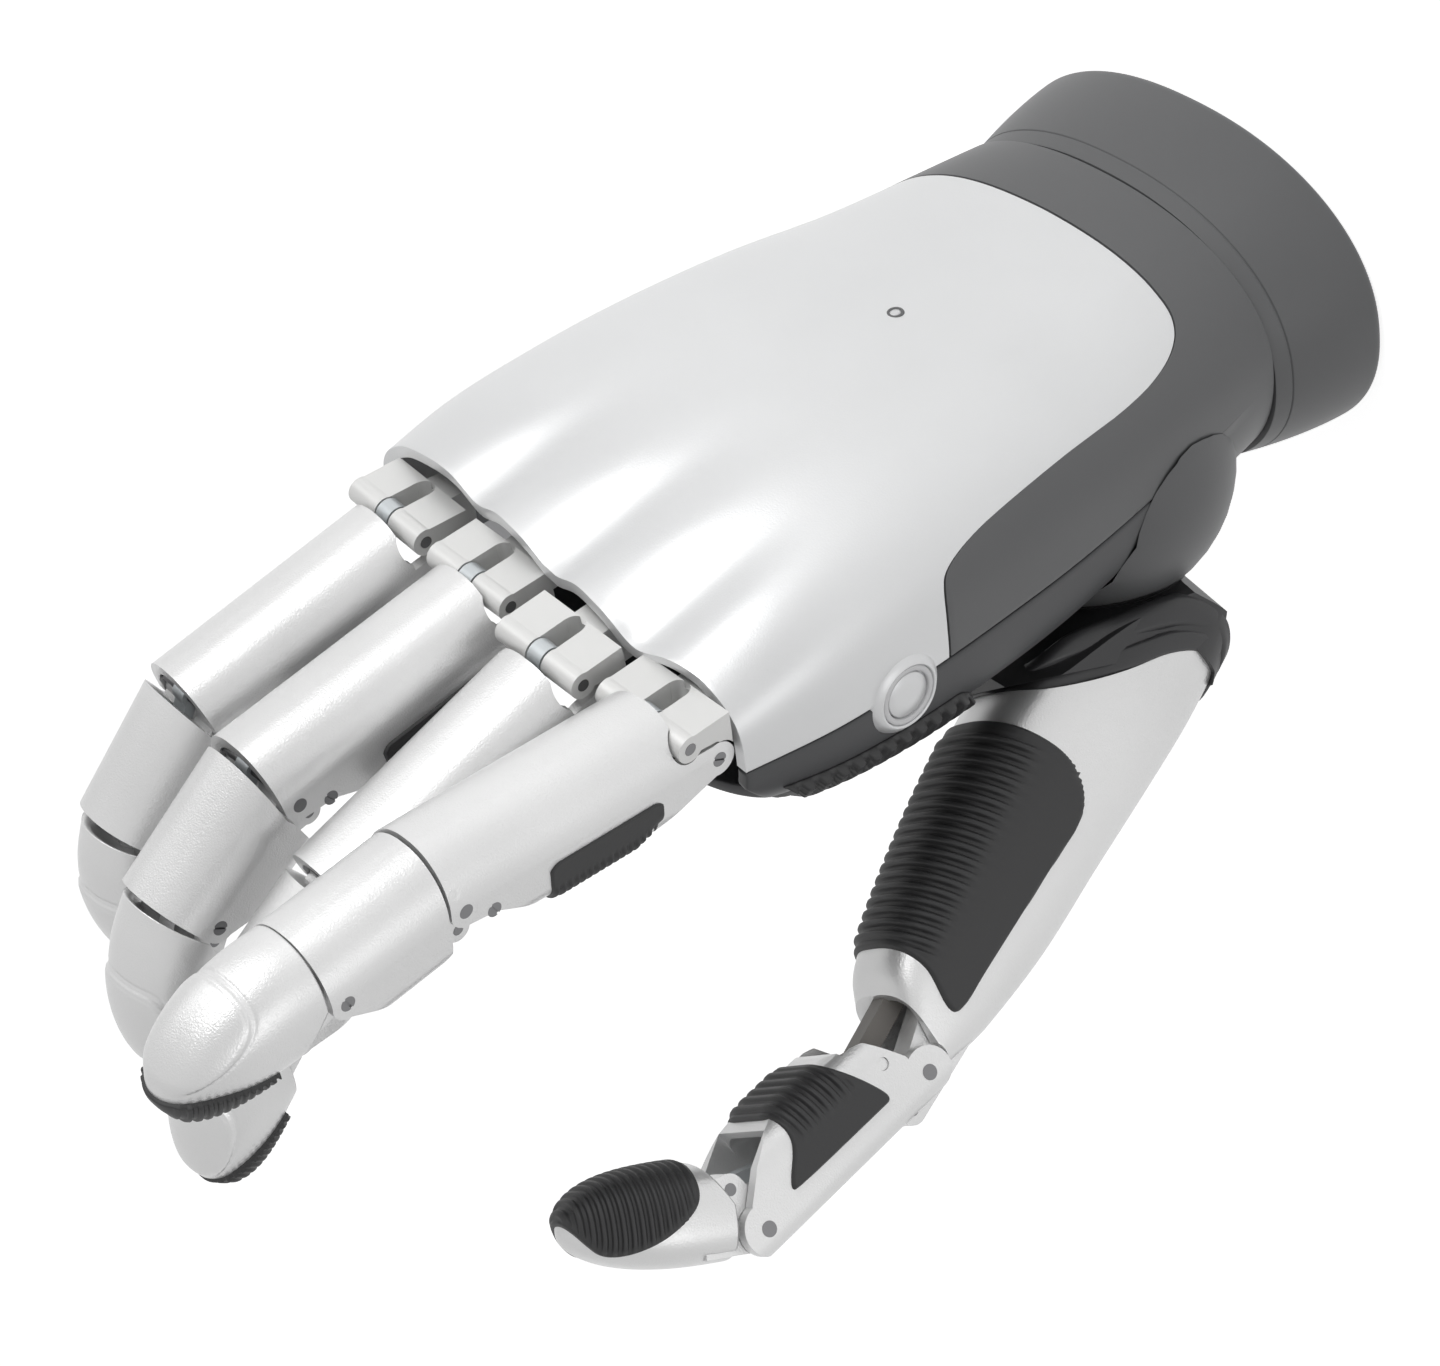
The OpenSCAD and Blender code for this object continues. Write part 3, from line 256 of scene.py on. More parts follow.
def plates(outline, spans):
    """Points and faces of flat plates that share one side outline, each from one x to another."""
    points, faces = [], []
    n = len(outline)
    for x0, x1 in spans:
        at = len(points) * n
        points += [np.column_stack([np.full(n, x0), outline]), np.column_stack([np.full(n, x1), outline])]
        a, b = np.arange(n) + at, np.arange(n) + at + n
        faces += [a.tolist(), b[::-1].tolist()] + strip_faces(b, a, True).tolist()
    return np.concatenate(points), faces


def lathe(profile, matrix, name, material, body, count=96):
    """Closed turned piece from a profile of radius and height, round the z axis of a frame."""
    a = np.linspace(0, 2 * np.pi, count, endpoint=False)[:, None]
    profile = np.asarray(profile, float)
    grid = np.stack([profile[:, 0] * np.cos(a), profile[:, 0] * np.sin(a), profile[:, 1] + 0 * a], -1)
    closed = np.concatenate([grid, grid[:, :1]], 1)
    n, m = closed.shape[:2]
    points = carried(matrix, closed.reshape(-1, 3))
    return outward(merged(mesh_piece(name, points, grid_faces(n, m, 0, True), material, body)))


def merged(piece):
    """Joins points that lie on one another."""
    work = bmesh.new()
    work.from_mesh(piece.data)
    bmesh.ops.remove_doubles(work, verts=work.verts, dist=1e-6)
    bmesh.ops.dissolve_degenerate(work, edges=work.edges, dist=1e-7)
    work.to_mesh(piece.data)
    work.free()
    return piece


def effect(name, inputs, outputs):
    """Empty shader node group with its sockets."""
    group = bpy.data.node_groups.new(name, "ShaderNodeTree")
    for label, value in inputs:
        s = group.interface.new_socket(label, in_out="INPUT", socket_type="NodeSocketFloat")
        s.default_value = value
    for label, kind in outputs:
        group.interface.new_socket(label, in_out="OUTPUT", socket_type="NodeSocket" + kind)
    return group, group.nodes.new("NodeGroupInput"), group.nodes.new("NodeGroupOutput")


def link(group, *pairs):
    """Joins pairs of sockets."""
    for a, b in pairs:
        group.links.new(a, b)


# Fine grain: small even bumps with a slower drift of tone laid over them
grain, g_in, g_out = effect("grain", [("Size", .5), ("Drift size", 30)],
                            [("Height", "Float"), ("Tone", "Float")])
place = grain.nodes.new("ShaderNodeTexCoord")
fine = grain.nodes.new("ShaderNodeTexNoise")
fine.inputs["Detail"].default_value = 3
slow = grain.nodes.new("ShaderNodeTexNoise")
slow.inputs["Detail"].default_value = 2
per_fine, per_slow = grain.nodes.new("ShaderNodeMath"), grain.nodes.new("ShaderNodeMath")
for per in (per_fine, per_slow):
    per.operation = "DIVIDE"
    per.inputs[0].default_value = 1 / mm
link(grain, (g_in.outputs["Size"], per_fine.inputs[1]), (g_in.outputs["Drift size"], per_slow.inputs[1]),
     (place.outputs["Object"], fine.inputs["Vector"]), (place.outputs["Object"], slow.inputs["Vector"]),
     (per_fine.outputs[0], fine.inputs["Scale"]), (per_slow.outputs[0], slow.inputs["Scale"]),
     (fine.outputs["Fac"], g_out.inputs["Height"]), (slow.outputs["Fac"], g_out.inputs["Tone"]))


def finish_of(name, colour, tint, metallic, rough, rough_span, size, bump, drift=25):
    """Material: base colour between two tints by slow drift, roughness that varies with it, and a fine grain.
    Its size, drift and bump height are millimetres."""
    material = bpy.data.materials.new(name)
    material.use_nodes = True
    tree = material.node_tree
    shader = tree.nodes["Principled BSDF"]
    shader.inputs["Metallic"].default_value = metallic
    g = tree.nodes.new("ShaderNodeGroup")
    g.node_tree = grain
    g.inputs["Size"].default_value, g.inputs["Drift size"].default_value = size, drift
    mix = tree.nodes.new("ShaderNodeMix")
    mix.data_type = "RGBA"
    mix.inputs["A"].default_value, mix.inputs["B"].default_value = (*colour, 1), (*tint, 1)
    span = tree.nodes.new("ShaderNodeMapRange")
    span.inputs["To Min"].default_value = rough - rough_span
    span.inputs["To Max"].default_value = rough + rough_span
    b = tree.nodes.new("ShaderNodeBump")
    b.inputs["Distance"].default_value, b.inputs["Strength"].default_value = bump * mm, 1
    link(tree, (g.outputs["Tone"], mix.inputs["Factor"]), (mix.outputs["Result"], shader.inputs["Base Color"]),
         (g.outputs["Tone"], span.inputs["Value"]), (span.outputs["Result"], shader.inputs["Roughness"]),
         (g.outputs["Height"], b.inputs["Height"]), (b.outputs["Normal"], shader.inputs["Normal"]))
    return material


silver_lacquer = finish_of("satin silver lacquer", (.70, .705, .71), (.77, .775, .78), .4, .38, .04, .3, .02)


def hollows(p):
    """Depth of the three hollows between the tendons: the sum of bell curves 2.4 e^(-(off / width)^2) across
    the hand, which lean, widen and fade out towards the wrist."""
    x, z = p[..., 0], p[..., 2]
    back = 128 - z
    width = 4.6 + .07 * back
    deep = 0
    for at, slope, far in ((-20.5, .13, 78), (-.3, .28, 70), (20.5, .34, 76)):
        deep = deep + 2.4 * smooth(far, 132, z) ** 1.2 * np.exp(-((x - at + slope * back) / width) ** 2)
    return deep


turns = np.concatenate([np.linspace(-side_turn, -54, 60), np.linspace(-53.5, 53.5, 150),
                        np.linspace(54, side_turn, 60)])
rise = np.linspace(0, 1, 120)[None, :]
low, high = cowl_top(turns)[:, None] + seam, palm_end(turns)[:, None]
z = low + (high - low) * rise
d = turns[:, None] + 0 * z
skin, lining = palm(d, z), palm(d, z, shell_t)
deep = hollows(skin) * smooth(75, 50, np.abs(d))
skin[..., 1] += deep
lining[..., 1] += deep
back_shell = outward(wall("back_shell", skin, lining, silver_lacquer))
rounded(back_shell, .45, 3, 50)
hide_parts("dorsal_shell")

# ---- Rear cowl -----------------------------------------------------------------------
# Moulded cowl in mid grey matt plastic that closes the wrist half of the palm.
# Its edge follows the back shell's, a narrow seam away.
matt_grey = finish_of("matt grey casing", (.115, .117, .12), (.135, .137, .14), 0, .48, .05, .3, .012)
round_turns = np.concatenate([np.linspace(-side_turn, -54, 60), np.linspace(-53.5, 53.5, 90),
                              np.linspace(54, side_turn, 60), [side_turn + .3], np.linspace(97, 263, 90),
                              [359.7 - side_turn]])
d = round_turns[:, None] + 0 * np.linspace(0, 1, 60)[None, :]
low, high = cuff_len + seam, cowl_top(round_turns)[:, None]
z = low + (high - low) * np.linspace(0, 1, 60)[None, :]
rear_casing = outward(wall("rear_casing", palm(d, z), palm(d, z, shell_t), matt_grey, wrap=True))
rounded(rear_casing, .3, 2, 50)
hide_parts("rear_cowl")

# ---- Wrist cuff ----------------------------------------------------------------------
# Flared cuff moulded in the same grey, pushed over the wrist flange up to the cowl.
# A fine groove runs round it just short of the joint.
rim_a, rim_b, cuff_t = 37, 26.5, 2.4


def oval(a, b, t, z):
    """Squared oval: a and b times the cosine and sine, each raised to 0.91."""
    power = lambda v: np.sign(v) * np.abs(v) ** .91
    return np.stack([a * power(np.cos(t)), b * power(np.sin(t)), z + 0 * t], -1)


groove_at, rim_r = 16.2, 1.6
z = np.concatenate([np.linspace(0, 1.2, 8), np.linspace(1.6, 15.6, 40), np.linspace(15.8, 16.6, 17),
                    np.linspace(16.9, 18.99, 8)])[None, :]
t = np.linspace(0, 2 * np.pi, 240, endpoint=False)[:, None]
share = (z / cuff_len) ** 1.6
groove = .22 * np.exp(-((z - groove_at) / .13) ** 4)
a, b = share * neck_a + (1 - share) * rim_a, share * neck_b + (1 - share) * rim_b
corner = .6 * rim_r * (1 - np.sqrt(1 - np.clip(1 - z / rim_r, 0, 1) ** 2))
skin = oval(a - groove - corner, b - groove - corner, t, z)
lining = oval(a - cuff_t, b - cuff_t, t, z)
cuff = outward(wall("cuff", skin, lining, matt_grey, wrap=True))
rounded(cuff, .25, 2, 50)
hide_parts("wrist_cuff")

# ---- Palm shell and palm pad ---------------------------------------------------------
# Darker moulded shell under the palm, with a rubber pad bonded to it.
# The pad's ribs run across the hand, and their ends show along the thumb side.
matt_dark = finish_of("matt dark casing", (.048, .049, .052), (.06, .061, .064), 0, .5, .05, .3, .012)
pad_rubber = finish_of("black pad rubber", (.022, .022, .023), (.03, .03, .031), 0, .55, .06, .5, .02)
turns = np.concatenate([[side_turn + .7], np.linspace(95, 265, 150), [359.3 - side_turn]])
rise = np.linspace(0, 1, 60)[None, :]
low, high = cuff_len + palm_len * palm_edge + seam, palm_end(turns)[:, None]
z = low + (high - low) * rise
d = turns[:, None] + 0 * z
under_shell = outward(wall("under_shell", palm(d, z), palm(d, z, shell_t), matt_dark))
rounded(under_shell, .3, 2, 50)
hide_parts("palm_shell")

# The pad reaches from the little finger's side to turn last, which is further round above the thumb's root
pad_low, rib_pitch, begin = 66, 2.85, 106
share = np.linspace(0, 1, 110)[:, None]
high = palm_end(begin + 144 * share) - 4
z = pad_low + (high - pad_low) * np.linspace(0, 1, 260)[None, :]
last = 198 + 52 * smooth(74, 90, z)
d = begin + share * (last - begin)
edge_fade = smooth(0, .018, (z - pad_low) / (high - pad_low)) * smooth(0, .018, (high - z) / (high - pad_low))
edge_fade = edge_fade * smooth(begin, begin + 1.5, d) * smooth(last, last - 1.5, d)
rib = .5 + .5 * np.cos(2 * np.pi * (z - pad_low) / rib_pitch)
height = .25 + edge_fade * (.35 + .9 * smooth(.15, .7, rib))
ribbed_palm = outward(wall("ribbed_palm", palm(d, z, -height), palm(d, z, .05), pad_rubber))
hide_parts("palm_pad")

# ---- Knuckle blocks ------------------------------------------------------------------
# Milled alloy blocks, bead blasted nearly white, screwed to the frame with one for each finger.
# Each is slotted for the link that pulls its finger, and holds that link's pin in a barrel.
blasted_alloy = finish_of("blasted pale alloy", (.72, .72, .71), (.78, .78, .77), .35, .42, .04, .25, .012)


def from_solid(node, name, material, body, width=.35, segments=3, angle=30):
    """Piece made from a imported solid: its triangles are merged, flat faces are joined, and edges rounded."""
    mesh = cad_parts[node].data.copy()
    mesh.name = name
    work = bmesh.new()
    work.from_mesh(mesh)
    bmesh.ops.remove_doubles(work, verts=work.verts, dist=2e-6)
    bmesh.ops.dissolve_degenerate(work, edges=work.edges, dist=2e-6)
    bmesh.ops.dissolve_limit(work, angle_limit=np.radians(1.2), verts=work.verts, edges=work.edges)
    for face in work.faces:
        face.smooth = True
    for e in work.edges:
        e.smooth = not (len(e.link_faces) == 2 and e.calc_face_angle(0) > np.radians(angle))
    work.to_mesh(mesh)
    work.free()
    mesh.materials.clear()
    mesh.materials.append(material)
    piece = bpy.data.objects.new(name, mesh)
    bpy.context.scene.collection.objects.link(piece)
    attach(piece, body)
    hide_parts(node)
    if width:
        rounded(piece, width, segments, angle)
        normals = piece.modifiers.new("even normals", "WEIGHTED_NORMAL")
        normals.keep_sharp = True
    return piece


blocks = from_solid("knuckle_blocks", "finger_blocks", blasted_alloy, "root", .22, 3, 40)

# ---- Finger shells and screws --------------------------------------------------------
# Phalanges milled from alloy, satin anodised in silver: a hollow first link with ears at the knuckle,
# a short middle link, and a smooth fingertip with a raised nail cap. They turn on slotted screws.
satin_alloy = finish_of("satin silver alloy", (.66, .66, .66), (.78, .78, .78), .55, .33, .06, .26, .06)
dark_steel = finish_of("blackened steel", (.16, .16, .165), (.22, .22, .225), .9, .36, .05, .3, .004)
prox_len, mid_len, tip_len, little_scale = 43.5, 20, 25.5, .93
splay, roll, lean = (0, 2.2, 2.6, 5), (-2.5, -1.5, 0, 0), (-1.6, -5.5, -3.2, 0)
bends = {"index": (-5, 10, -6), "middle": (14, 16, 11), "ring": (6.5, 28, 20), "little": (13, 33, 23)}
least_dip = {"index": 0, "middle": 0, "ring": 13.5, "little": 10.5}
half_w, cheek_w, tongue_w = 8.5, 1.75, 6.325
pin_r, head_r, proud, side_gap = .9, 1.12, .02, .05
anchor, swing_in = (-3.3, 1.2), (2.5, -4.5)
lug, lug_pin_r = (1.9, 3.4), .8


def tip_skin(p, t, length, start, middle, half, back, pad, squares, rim):
    """Rounded tip. At share s of its length past start, its half width is h (1 - s^a)^b, and its reach to the
    back and to the pad likewise, each with its own h, a and b. The section is a squared oval, and rim gives the
    height where it begins."""
    n = np.where(np.sin(t) < 0, squares[0], squares[1])
    power = lambda v: np.sign(v) * np.abs(v) ** (2 / n)
    fall = lambda s, reach: reach[0] * (1 - s ** reach[1]) ** reach[2]
    across, up = power(np.cos(t)), power(np.sin(t))
    begin = rim(np.where(up < 0, back[0], pad[0]) * up + middle[0])
    z = begin + (length - begin) * p
    s = np.clip((z - start) / (length - start), 0, 1)
    y = middle[0] + (middle[1] - middle[0]) * s ** 2 + np.where(up < 0, fall(s, back), fall(s, pad)) * up
    return np.stack([fall(s, half) * across, y, z], -1)


def closed_tip(name, skin, material, body):
    """Tip with its pole closed and a recessed floor across its open end."""
    rows = [skin[::-1]]
    middle = skin[0].mean(0)
    for shrink, depth in ((.86, .3), (.8, 2.2)):
        rows.append((middle + (skin[0] - middle) * shrink + (skin[-1].mean(0) - middle) * depth / 25)[None])
    grid = np.concatenate(rows)
    n, m = grid.shape[:2]
    faces = grid_faces(m, n, 0, True).tolist()
    points = grid.transpose(1, 0, 2).reshape(-1, 3)
    faces.append([i * n + n - 1 for i in range(m)])
    return outward(merged(mesh_piece(name, points, faces, material, body)))


def both(low, high):
    """The same span of x on either side of the middle."""
    return [(low, high), (-high, -low)]


def trough(z, top, half, radius, depth, counts, flat):
    """Outside of a link round its pad face, as rows of points at heights z: sides at x = half and -half,
    rounded corners, and a flat across at y = top. It reaches depth below the top."""
    on_side, on_corner, on_flat = counts
    a = np.linspace(0, np.pi / 2, on_corner)
    side, x_side = np.linspace(depth, radius + side_gap, on_side), np.full(on_side, half)
    x = np.concatenate([-x_side, radius - half - radius * np.cos(a), np.linspace(-flat, flat, on_flat),
                        half - radius + radius * np.sin(a), x_side])
    drop = np.concatenate([side, radius - radius * np.sin(a), np.zeros(on_flat), radius - radius * np.cos(a),
                           np.linspace(radius + side_gap, depth, on_side)])
    return np.stack([x + 0 * z, top - drop, z + 0 * x], -1)


def screw(y, z, x, slot=.3, lean_of=25):
    """Points and faces of a slotted screw head whose face lies at x: two halves over a sunken disc."""
    a = np.radians(np.linspace(-72, 72, 17))
    half = np.stack([head_r * np.cos(a), head_r * np.sin(a)], 1)
    half = np.concatenate([half, [[slot / 2, half[-1, 1]], [slot / 2, half[0, 1]]]])
    side = np.sign(x)
    sets = [plates(ring(y, z, head_r), [(x - 1.2 * side, x - .25 * side)])]
    for k in (0, 180):
        c, d = np.cos(np.radians(lean_of + k)), np.sin(np.radians(lean_of + k))
        sets.append(plates(half @ np.array([[c, d], [-d, c]]) + [y, z], [(x - .4 * side, x)]))
    return sets


def pinned(name, matrix, sets, material, body):
    """One piece from several sets of points and faces in a local frame."""
    points, faces = [], []
    for p, f in sets:
        at = sum(len(q) for q in points)
        points.append(p)
        faces += [[c + at for c in face] for face in f]
    return outward(mesh_piece(name, carried(matrix, np.concatenate(points)), faces, material, body, False))


for i, finger in enumerate(bends):
    scale = little_scale if finger == "little" else 1
    seat = moved(knuckle_x[i], knuckle_y[i], knuckle_z[i])
    knuckle = seat @ turned("y", splay[i]) @ turned("z", roll[i]) @ turned("x", lean[i])
    first = knuckle @ turned("x", -bends[finger][0])
    second = first @ moved(0, 0, prox_len * scale) @ turned("x", -bends[finger][1])
    third = second @ moved(0, 0, mid_len * scale) @ turned("x", -bends[finger][2])
    for part, body in (("proximal", "base"), ("middle", "mid")):
        piece = from_solid(f"{finger}_{part}", f"{finger}_{part}_link", satin_alloy, f"{finger}_{body}", .35, 4)

    # Fingertip: smooth dome whose nail cap is raised behind a double arc edge
    n, lead = tip_len * scale, half_w * np.tan(np.radians(least_dip[finger]))
    rim_z = 3.1 if finger == "middle" else 2.75
    rim = lambda y: rim_z - lead * np.clip(-(y + .4) / 9, 0, 1) + .87 * np.maximum(0, y + .4)
    shape = dict(length=n, start=5, middle=(.2, 3.1), half=(8.1, 2.7, .46), back=(8.6, 1.75, .62),
                 pad=(7.1, 5, .5), squares=(2.15, 3), rim=rim)
    p = (1 - (1 - np.linspace(0, 1, 190)) ** 1.7)[:, None]
    t = np.linspace(-np.pi / 2, 1.5 * np.pi, 170, endpoint=False)[None, :]
    skin = tip_skin(p, t, **shape)
    past = skin[..., 2] - (12.6 * scale + .16 * np.clip(skin[..., 1] + 6.2, 0, None) ** 2)
    nail = .32 * smooth(-.25, .25, past) + .12 * smooth(.55, .8, past)
    nail = nail - .14 * np.exp(-((past + .75) / .22) ** 2)
    skin = skin + normals_of(skin, True) * (nail * smooth(1, .96, p) * smooth(2.5, .5, skin[..., 1]))[..., None]
    tip = closed_tip(f"{finger}_distal_link", carried(third, skin), satin_alloy, f"{finger}_end")
    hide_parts(f"{finger}_distal")
    outline = hull(np.concatenate([ring(0, 0, 2.3), ring(*lug, 1.9), [[-1.6, 7], [3.8, 7]]]))
    cheeks = pinned(f"{finger}_distal_cheeks", third, [plates(outline, both(cheek_w, tongue_w))], satin_alloy,
                    f"{finger}_end")
    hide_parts(f"{finger}_distal")

    # Tip pad: a ribbed band round the underside of the fingertip, which ends in teeth along its edge
    t_pad = np.linspace(-.25, np.pi + .25, 150)[None, :]
    p_pad = (1 - (1 - np.linspace(.12, 1, 200)) ** 1.7)[:, None]
    skin = tip_skin(p_pad, t_pad, **shape)
    y, z = skin[..., 1], skin[..., 2]
    inside = np.minimum(y - (5.3 - 1.9 * smooth(9, 22, z)), z - 9.6)
    teeth = smooth(.2, .8, .5 + .5 * np.cos(2 * np.pi * z / 1.1)) * smooth(25 * scale, 23 * scale, z)
    height = -.25 + smooth(-.1, .35, inside) * (.75 + .4 * teeth)
    tip_rubber = pad_of(f"{finger}_tip_rubber", carried(third, skin), height, inside > -.5, .5,
                        pad_rubber, f"{finger}_end")
    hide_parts(f"{finger}_tip_pad")

    # Side pad: lies along the first link's palm edge, wraps under it and is toothed there
    n = prox_len * scale
    z = np.linspace(6, n - 9, 190)[:, None]
    top = np.interp(z, [.5, 15, n - 16, n - 13, n - 5], [2.5, 7.4, 7.4, 6.8, 3])
    skin = trough(z, top, half_w, 3, 7.6, (60, 30, 40), 5.4)
    middle_z, reach = n * .455, n * .23
    corner = np.hypot(np.maximum(0, np.abs(z - middle_z) - reach + 2), np.maximum(0, 3 - skin[..., 1]))
    inside = np.minimum(2.2 - corner, 9.9 * scale - np.abs(z - middle_z))
    teeth = smooth(.2, .8, .5 + .5 * np.cos(2 * np.pi * z / 1.15)) * smooth(4.2, 5.6, skin[..., 1] + 0 * z)
    height = -.3 + smooth(-.1, .4, inside) * (.7 + .45 * teeth)
    side_rubber = pad_of(f"{finger}_proximal_rubber", carried(first, skin), height, inside > -.6, .5,
                         pad_rubber, f"{finger}_base")
    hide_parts(f"{finger}_proximal_pad")

    # Pins and slotted screws of the three joints; the tip link's anchor pin stays inside the walls
    sets = [plates(ring(0, n, 1.08), both(cheek_w, half_w + proud)),
            plates(ring(anchor[0], n + anchor[1], pin_r), [(-6.5, 6.5)])]
    for side in (-1, 1):
        face = side * (half_w + proud)
        sets += screw(0, 0, face) + screw(swing_in[0], n + swing_in[1], face, lean_of=60)
        sets.append(plates(ring(0, 0, pin_r), [(side * cheek_w, side * (half_w - .6))]))
    pins = pinned(f"{finger}_screws", first, sets, dark_steel, f"{finger}_base")
    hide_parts(f"{finger}_pins")
    n_mid, lug_span = mid_len * scale, both(cheek_w, tongue_w + .03)
    sets = screw(0, n_mid, half_w + proud) + screw(0, n_mid, -half_w - proud, lean_of=70)
    sets.append(plates(ring(4.6, .8, lug_pin_r), lug_span))
    end_screws = pinned(f"{finger}_end_screws", second, sets, dark_steel, f"{finger}_mid")
    lug_pin = pinned(f"{finger}_tip_lug_pin", third, [plates(ring(*lug, lug_pin_r), lug_span)], dark_steel,
                     f"{finger}_end")

    # Flush plugs over the anchor pin's bores, shaped to the link's rounded side
    points, faces = plates(ring(anchor[0], n + anchor[1], pin_r + .06), [(6, 8), (-6, -8)])
    outer = np.abs(points[:, 0]) > 7
    points[outer, 0] = np.sign(points[outer, 0]) * (.5 + np.sqrt(64 - (points[outer, 1] + .5) ** 2) + .01)
    plugs = pinned(f"{finger}_bore_plugs", first, [(points, faces)], satin_alloy, f"{finger}_base")

# ---- Thumb metacarpal ----------------------------------------------------------------
# Hollow alloy shell in the same satin silver, open towards the thumb's first joint, where its inner cheeks
# carry that hinge. A ribbed rubber pad is bonded over its palm side.
meta = moved(-51.2, 56.2, 117) @ turned("z", -143) @ turned("x", 33)
thumb_first = meta @ turned("x", -25)
thumb_len, thumb_half, meta_wall, hinge_r = 33.5, 8.75, 1.7, 4.3
thumb_second = thumb_first @ moved(0, 0, thumb_len) @ turned("x", -32)
meta_lug, tip_lug, thumb_head_r = (-.7, 5.4), (6, 4), 1.15
tongue_in = thumb_half - 2 - .175
# place along the bone, back z, back y, pad z, pad y, half width, squareness of the back and of the pad
meta_rows = np.array([
    [0, -2.2, -4, -8.4, 8.2, 8.55, 3.2, 3], [.08, -6.5, -6.3, -11, 10.3, 8.9, 3.1, 2.9],
    [.17, -11.5, -8.5, -14.6, 11.2, 9.2, 3, 2.8], [.35, -24, -12.4, -24.5, 11.7, 9.9, 2.9, 2.7],
    [.6, -39.5, -15.6, -37.5, 11.3, 10.8, 2.8, 2.7], [.8, -54, -18.8, -48, 10.4, 11.5, 2.7, 2.7],
    [.92, -63.5, -20.7, -54.2, 9.6, 11.9, 2.7, 2.7], [1, -70, -21.6, -57.2, 9, 12, 2.7, 2.7]])
# share of the way from back to pad, then z and y
seam_rows = np.array([[0, -69.5, -21.2], [.09, -73.6, -19.2], [.2, -74.4, -15.5], [.35, -71.4, -10.3],
                      [.52, -66, -5], [.68, -61.4, .2], [.84, -57.6, 5.4], [1, -56, 9]])


def meta_skin(p, t, inset=0):
    """Metacarpal's outside: the side-view form, whose upper end bends into the bracket's curved seam and whose
    lower end keeps clear of the ears that turn there."""
    rows = meta_rows.copy()
    rows[:, 5] -= inset
    rows[:, 2] += inset
    rows[:, 4] -= inset
    points, f = form(rows, p, t)
    end = np.stack([0 * f, curve(seam_rows, f, 2), curve(seam_rows, f, 1)], -1)
    last = meta_rows[-1]
    straight = np.stack([0 * f, last[2] + (last[4] - last[2]) * f, last[1] + (last[3] - last[1]) * f], -1)
    points = points + (end - straight) * (p ** 3)[..., None]
    near = np.hypot(points[..., 1], points[..., 2])
    push = np.maximum(1, hinge_r / np.maximum(near, 1e-6))
    points[..., 1:] *= push[..., None]
    return points


t = np.linspace(-np.pi / 2, 1.5 * np.pi, 240, endpoint=False)[None, :]
p = np.linspace(0, 1, 160)[:, None]
skins = [meta_skin(p + 0 * t, t + 0 * p, inset).transpose(1, 0, 2) for inset in (0, meta_wall)]
shell = wall("thumb_metacarpal_form", carried(meta, skins[0]), carried(meta, skins[1]), satin_alloy, wrap=True,
             body="thumb_base")
rounded(outward(shell), .5, 3, 40)
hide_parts("thumb_metacarpal")
outline = hull(np.concatenate([ring(0, 0, 3), ring(*meta_lug, 2.2), [[-6.5, -13], [4, -13]]]))
meta_cheeks = pinned("thumb_metacarpal_cheeks", meta, [plates(outline, both(2.15, tongue_in))], satin_alloy,
                     "thumb_base")
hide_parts("thumb_metacarpal")
sets = [plates(ring(*meta_lug, pin_r), [(-tongue_in - .04, tongue_in + .04)])]
sets += [plates(ring(0, 0, thumb_head_r), [(side * 2.2, side * 8.8)]) for side in (-1, 1)]
meta_pins = pinned("thumb_metacarpal_pins", meta, sets, dark_steel, "thumb_base")
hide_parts("thumb_pins")

# Outline of the pad as z and y, which runs on past the skin above
edge = np.array([(-51.2, 14), (-51, 2.6), (-49.8, -2.4), (-46.6, -6.2), (-42.4, -7.4), (-35.9, -5.9),
                 (-25.5, -4), (-16.9, -2.4), (-11, -1.6), (-8.9, -.4), (-9.2, 1.5), (-11.2, 4.2), (-13, 6.6),
                 (-14.2, 10.8), (-14, 16), (-14, 30), (-51.2, 30)])


def within(outline, z, y):
    """Distance from side-view points to a closed outline of z and y, above 0 inside it."""
    a, b = outline, np.roll(outline, -1, 0)
    best, inside = np.full(z.shape, 1e9), np.zeros(z.shape, bool)
    for (az, ay), (bz, by) in zip(a, b):
        span = (bz - az) ** 2 + (by - ay) ** 2
        k = np.clip(((z - az) * (bz - az) + (y - ay) * (by - ay)) / span, 0, 1)
        best = np.minimum(best, np.hypot(z - az - k * (bz - az), y - ay - k * (by - ay)))
        crosses = (ay > y) != (by > y)
        inside ^= crosses & (z < az + (y - ay) * (bz - az) / (by - ay if by != ay else 1e-9))
    return np.where(inside, best, -best)


def eased(outline):
    """Outline whose corners are cut at a quarter of each side, three times over, which rounds them."""
    for _ in range(3):
        after = np.roll(outline, -1, 0)
        outline = np.stack([.75 * outline + .25 * after, .25 * outline + .75 * after], 1).reshape(-1, 2)
    return outline


t = np.linspace(-1.05, np.pi + 1.05, 160)[None, :]
p = np.linspace(.02, .97, 330)[:, None]
skin = meta_skin(p + 0 * t, t + 0 * p)
inside = within(eased(edge), skin[..., 2], skin[..., 1])
along = skin[..., 2] - .05 * skin[..., 1]
rib = smooth(.15, .85, .5 + .5 * np.cos(2 * np.pi * along / 1.86))
ribbed = smooth(.8, 2.2, inside) * smooth(.22, .6, np.sin(t) + 0 * p)
ribbed = ribbed * smooth(-50, -48.5, along) * smooth(-11.5, -13, along)
height = -.3 + smooth(-.1, .7, inside) * (.95 + .8 * (rib - .4) * ribbed)
meta_rubber = pad_of("thumb_metacarpal_rubber", carried(meta, skin), height, inside > -.7, .6, pad_rubber,
                     "thumb_base")
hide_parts("thumb_metacarpal_pad")

